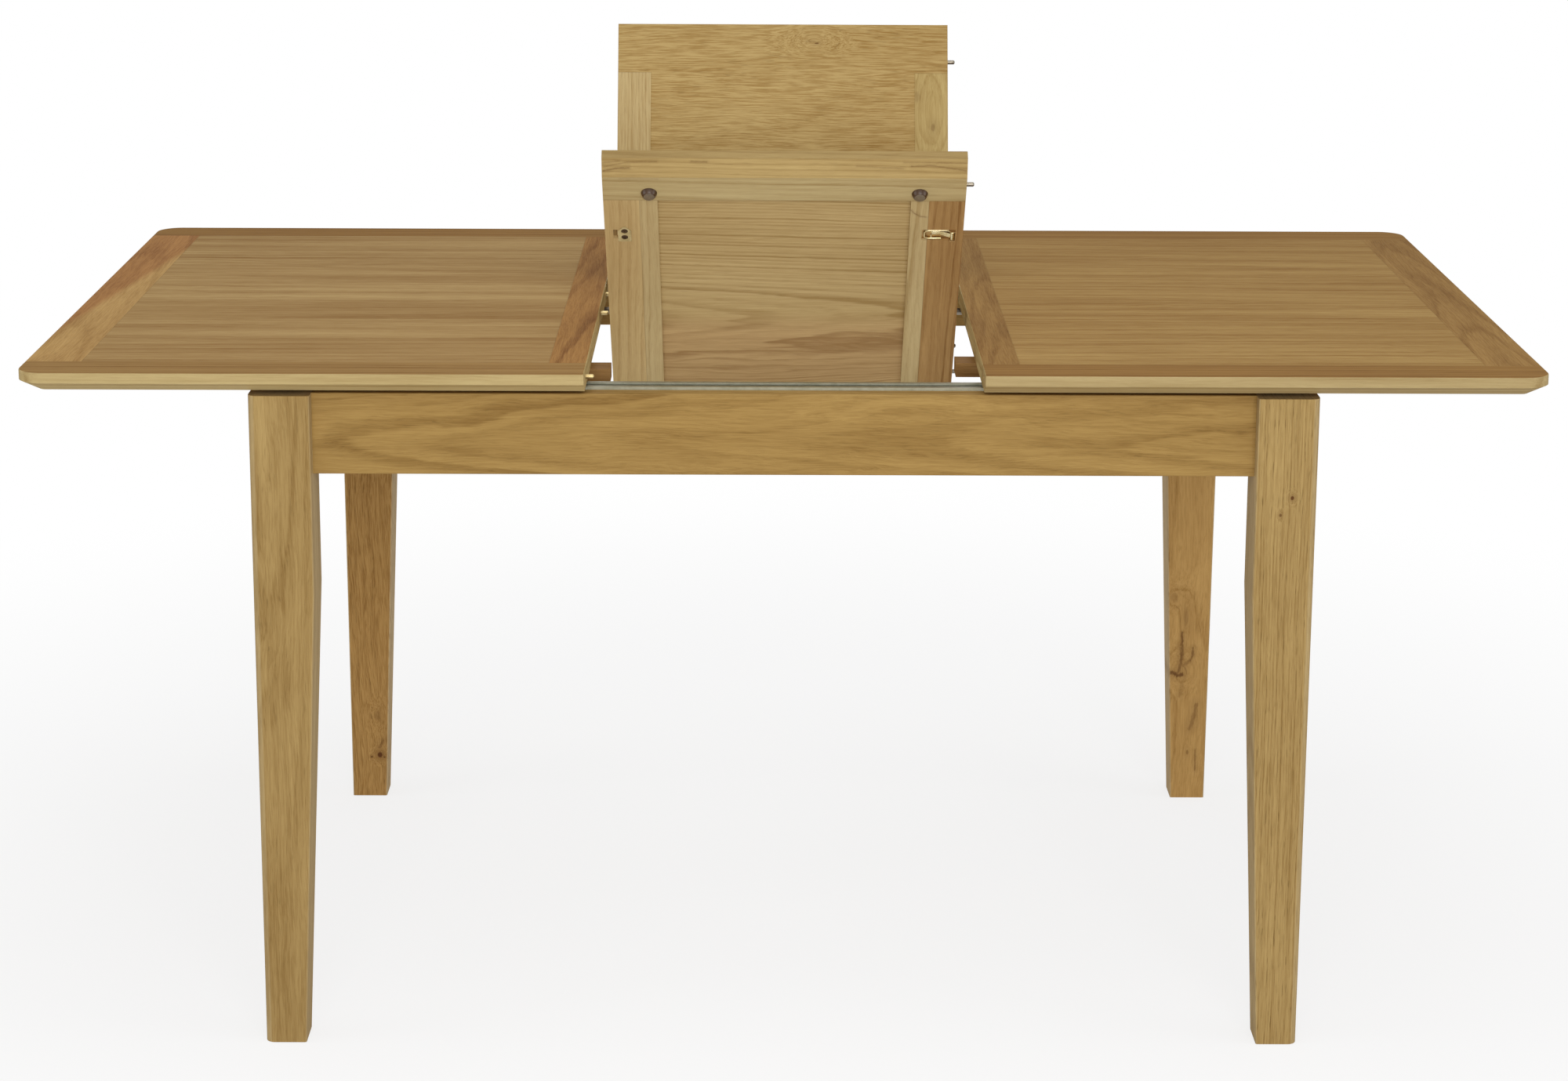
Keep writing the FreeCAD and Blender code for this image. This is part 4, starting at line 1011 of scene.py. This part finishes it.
def makeBails():
    for body, turn in (("left_top_clip", 0.0), ("front_leaf_clip", frontTurn)):
        hub = Matrix.Translation(Vector(joints[body + "_turn"]["pos_m"])) @ Matrix.Rotation(turn, 4, "X")
        addPiece(body + "_bail", leverParts(), hub, metalOf["yellowZinc"], body,
                 [body + "_lever"])


def makeKeepers():
    for body, space in (("right_top", tableSpace), ("front_leaf", leafSpaces["front"])):
        node = body + "_keeper"
        inverse = space.inverted()
        low, high = boxOf([inverse @ vertex.co for vertex in nodes[node].data.vertices])
        middle = Vector(((low.x + high.x) / 2, (low.y + high.y) / 2, low.z))
        addPiece(node + "_plate", keeperParts(), space @ Matrix.Translation(middle), metalOf["agedZinc"],
                 body, [node])


def makeBumpers():
    for half, space in leafSpaces.items():
        body = half + "_leaf"
        inverse = space.inverted()
        parts = []
        for group in loosePieces(body + "_bumpers"):
            low, high = boxOf([inverse @ point for point in group])
            middle = (low + high) / 2
            parts.append(turned(bumperProfile(), Vector((middle.x, middle.y, high.z)) / millimetre))
        addPiece(body + "_bumper_feet", parts, space, rubberOf[half], body, [body + "_bumpers"])


def makeScrews():
    rows = {"left_top": (tableSpace, "zinc"), "right_top": (tableSpace, "zinc"),
            "frame": (tableSpace, "zinc"), "rear_leaf": (leafSpaces["rear"], "zinc"),
            # the front leaf's screws take the dark finish: painted shade
            "front_leaf": (leafSpaces["front"], "dark")}
    for body, (space, finish) in rows.items():
        node = body + "_screws"
        parts = []
        for group in loosePieces(node):
            place, long = screwSpace(group, space)
            for points, faces in screwParts(long / millimetre):
                moved = [tuple((place @ (Vector(point) * millimetre)) / millimetre) for point in points]
                parts.append((moved, faces))
        addPiece(body + "_cross_screws", parts, tableSpace, metalOf[finish], body, [node])


makeBails()
makeKeepers()
makeBumpers()
makeScrews()
print("fittings made")

# stage: a pale floor that goes to white away from the table, soft light from the front, the camera
stage = dict(floorSize=60.0, underFeet=0.0005, nearRadius=0.8, farRadius=2.2, nearWhite=0.78, floorGrey=0.9,
             worldLight=0.4)


def seenRays():  # 1 where the camera looks, straight or by way of a shiny or clear surface
    seen = addNode("LightPath").outputs
    rays = maths("MAXIMUM", seen["Is Camera Ray"], seen["Is Glossy Ray"])
    return maths("MAXIMUM", rays, seen["Is Transmission Ray"])


def makeFloor():
    half = stage["floorSize"] / 2
    low = -stage["underFeet"]
    mesh = bpy.data.meshes.new("floor")
    corners = [(-half, -half, low), (half, -half, low), (half, half, low), (-half, half, low)]
    mesh.from_pydata(corners, [], [(0, 1, 2, 3)])
    floor = addObject("floor", mesh)
    material = newMaterial("paleFloor")
    far = vectorMath("LENGTH", addNode("TexCoord").outputs["Object"])
    whiteness = softStep(far, stage["nearRadius"], stage["farRadius"], stage["nearWhite"], 1)
    shade = stage["floorGrey"]
    matt = addNode("BsdfDiffuse", {"Color": (shade, shade, shade, 1)}).outputs[0]
    glow = addNode("Emission", {"Color": white, "Strength": 1.0}).outputs[0]
    mixed = addNode("MixShader", {0: times(whiteness, seenRays()), 1: matt, 2: glow})
    addNode("OutputMaterial", {"Surface": mixed.outputs[0]})
    mesh.materials.append(material)


def makeWorld():
    world = bpy.data.worlds.new("studio")
    bpy.context.scene.world = world
    world.use_nodes = True
    world.node_tree.nodes.clear()
    bench["tree"] = world.node_tree
    strength = addNode("MapRange", {"Value": seenRays(), "To Min": stage["worldLight"], "To Max": 1.0})
    background = addNode("Background", {"Color": white, "Strength": strength.outputs[0]})
    addNode("OutputWorld", {"Surface": background.outputs[0]})


lamps = {
    "frontSoftbox": dict(place=(0.3, -4.6, 1.9), size=(3.0, 2.0), power=105),
    "topSoftbox": dict(place=(0.2, -0.6, 4.2), size=(3.0, 2.4), power=42),
    "leftFill": dict(place=(-4.6, -1.2, 1.5), size=(2.4, 2.2), power=38),
    "rightFill": dict(place=(4.6, -1.2, 1.5), size=(2.4, 2.2), power=38),
    "rearFill": dict(place=(-0.3, 4.8, 0.4), size=(3.0, 0.6), power=30),
}
lampTarget = Vector((0, 0, 0.55))


def makeLamps():
    for name, spec in lamps.items():
        light = bpy.data.lights.new(name, "AREA")
        light.shape = "RECTANGLE"
        light.size, light.size_y = spec["size"]
        light.energy = spec["power"]
        lamp = addObject(name, light)
        lamp.location = spec["place"]
        lamp.rotation_euler = (lampTarget - lamp.location).to_track_quat("-Z", "Y").to_euler()


cameraSpec = dict(place=(-0.0225, -3.9543, 1.5236), right=0.0062, down=0.2169, roll=0.0046, focal=4342.9,
                  imageWidth=2000, sensor=36.0, shiftDown=0.10, clipEnd=200)


def makeCamera():
    data = bpy.data.cameras.new("camera")
    data.sensor_fit = "HORIZONTAL"
    data.sensor_width = cameraSpec["sensor"]
    data.lens = cameraSpec["focal"] / cameraSpec["imageWidth"] * cameraSpec["sensor"]
    data.shift_y = -cameraSpec["shiftDown"]
    data.clip_end = cameraSpec["clipEnd"]
    camera = addObject("camera", data)
    turn = Matrix.Rotation(-cameraSpec["right"], 4, "Z")
    tip = Matrix.Rotation(math.pi / 2 - cameraSpec["down"], 4, "X")
    roll = Matrix.Rotation(cameraSpec["roll"], 4, "Z")
    camera.matrix_world = Matrix.Translation(cameraSpec["place"]) @ turn @ tip @ roll
    bpy.context.scene.camera = camera


makeFloor()
makeWorld()
makeLamps()
makeCamera()
bpy.context.scene.view_settings.view_transform = "Standard"
print("stage set")
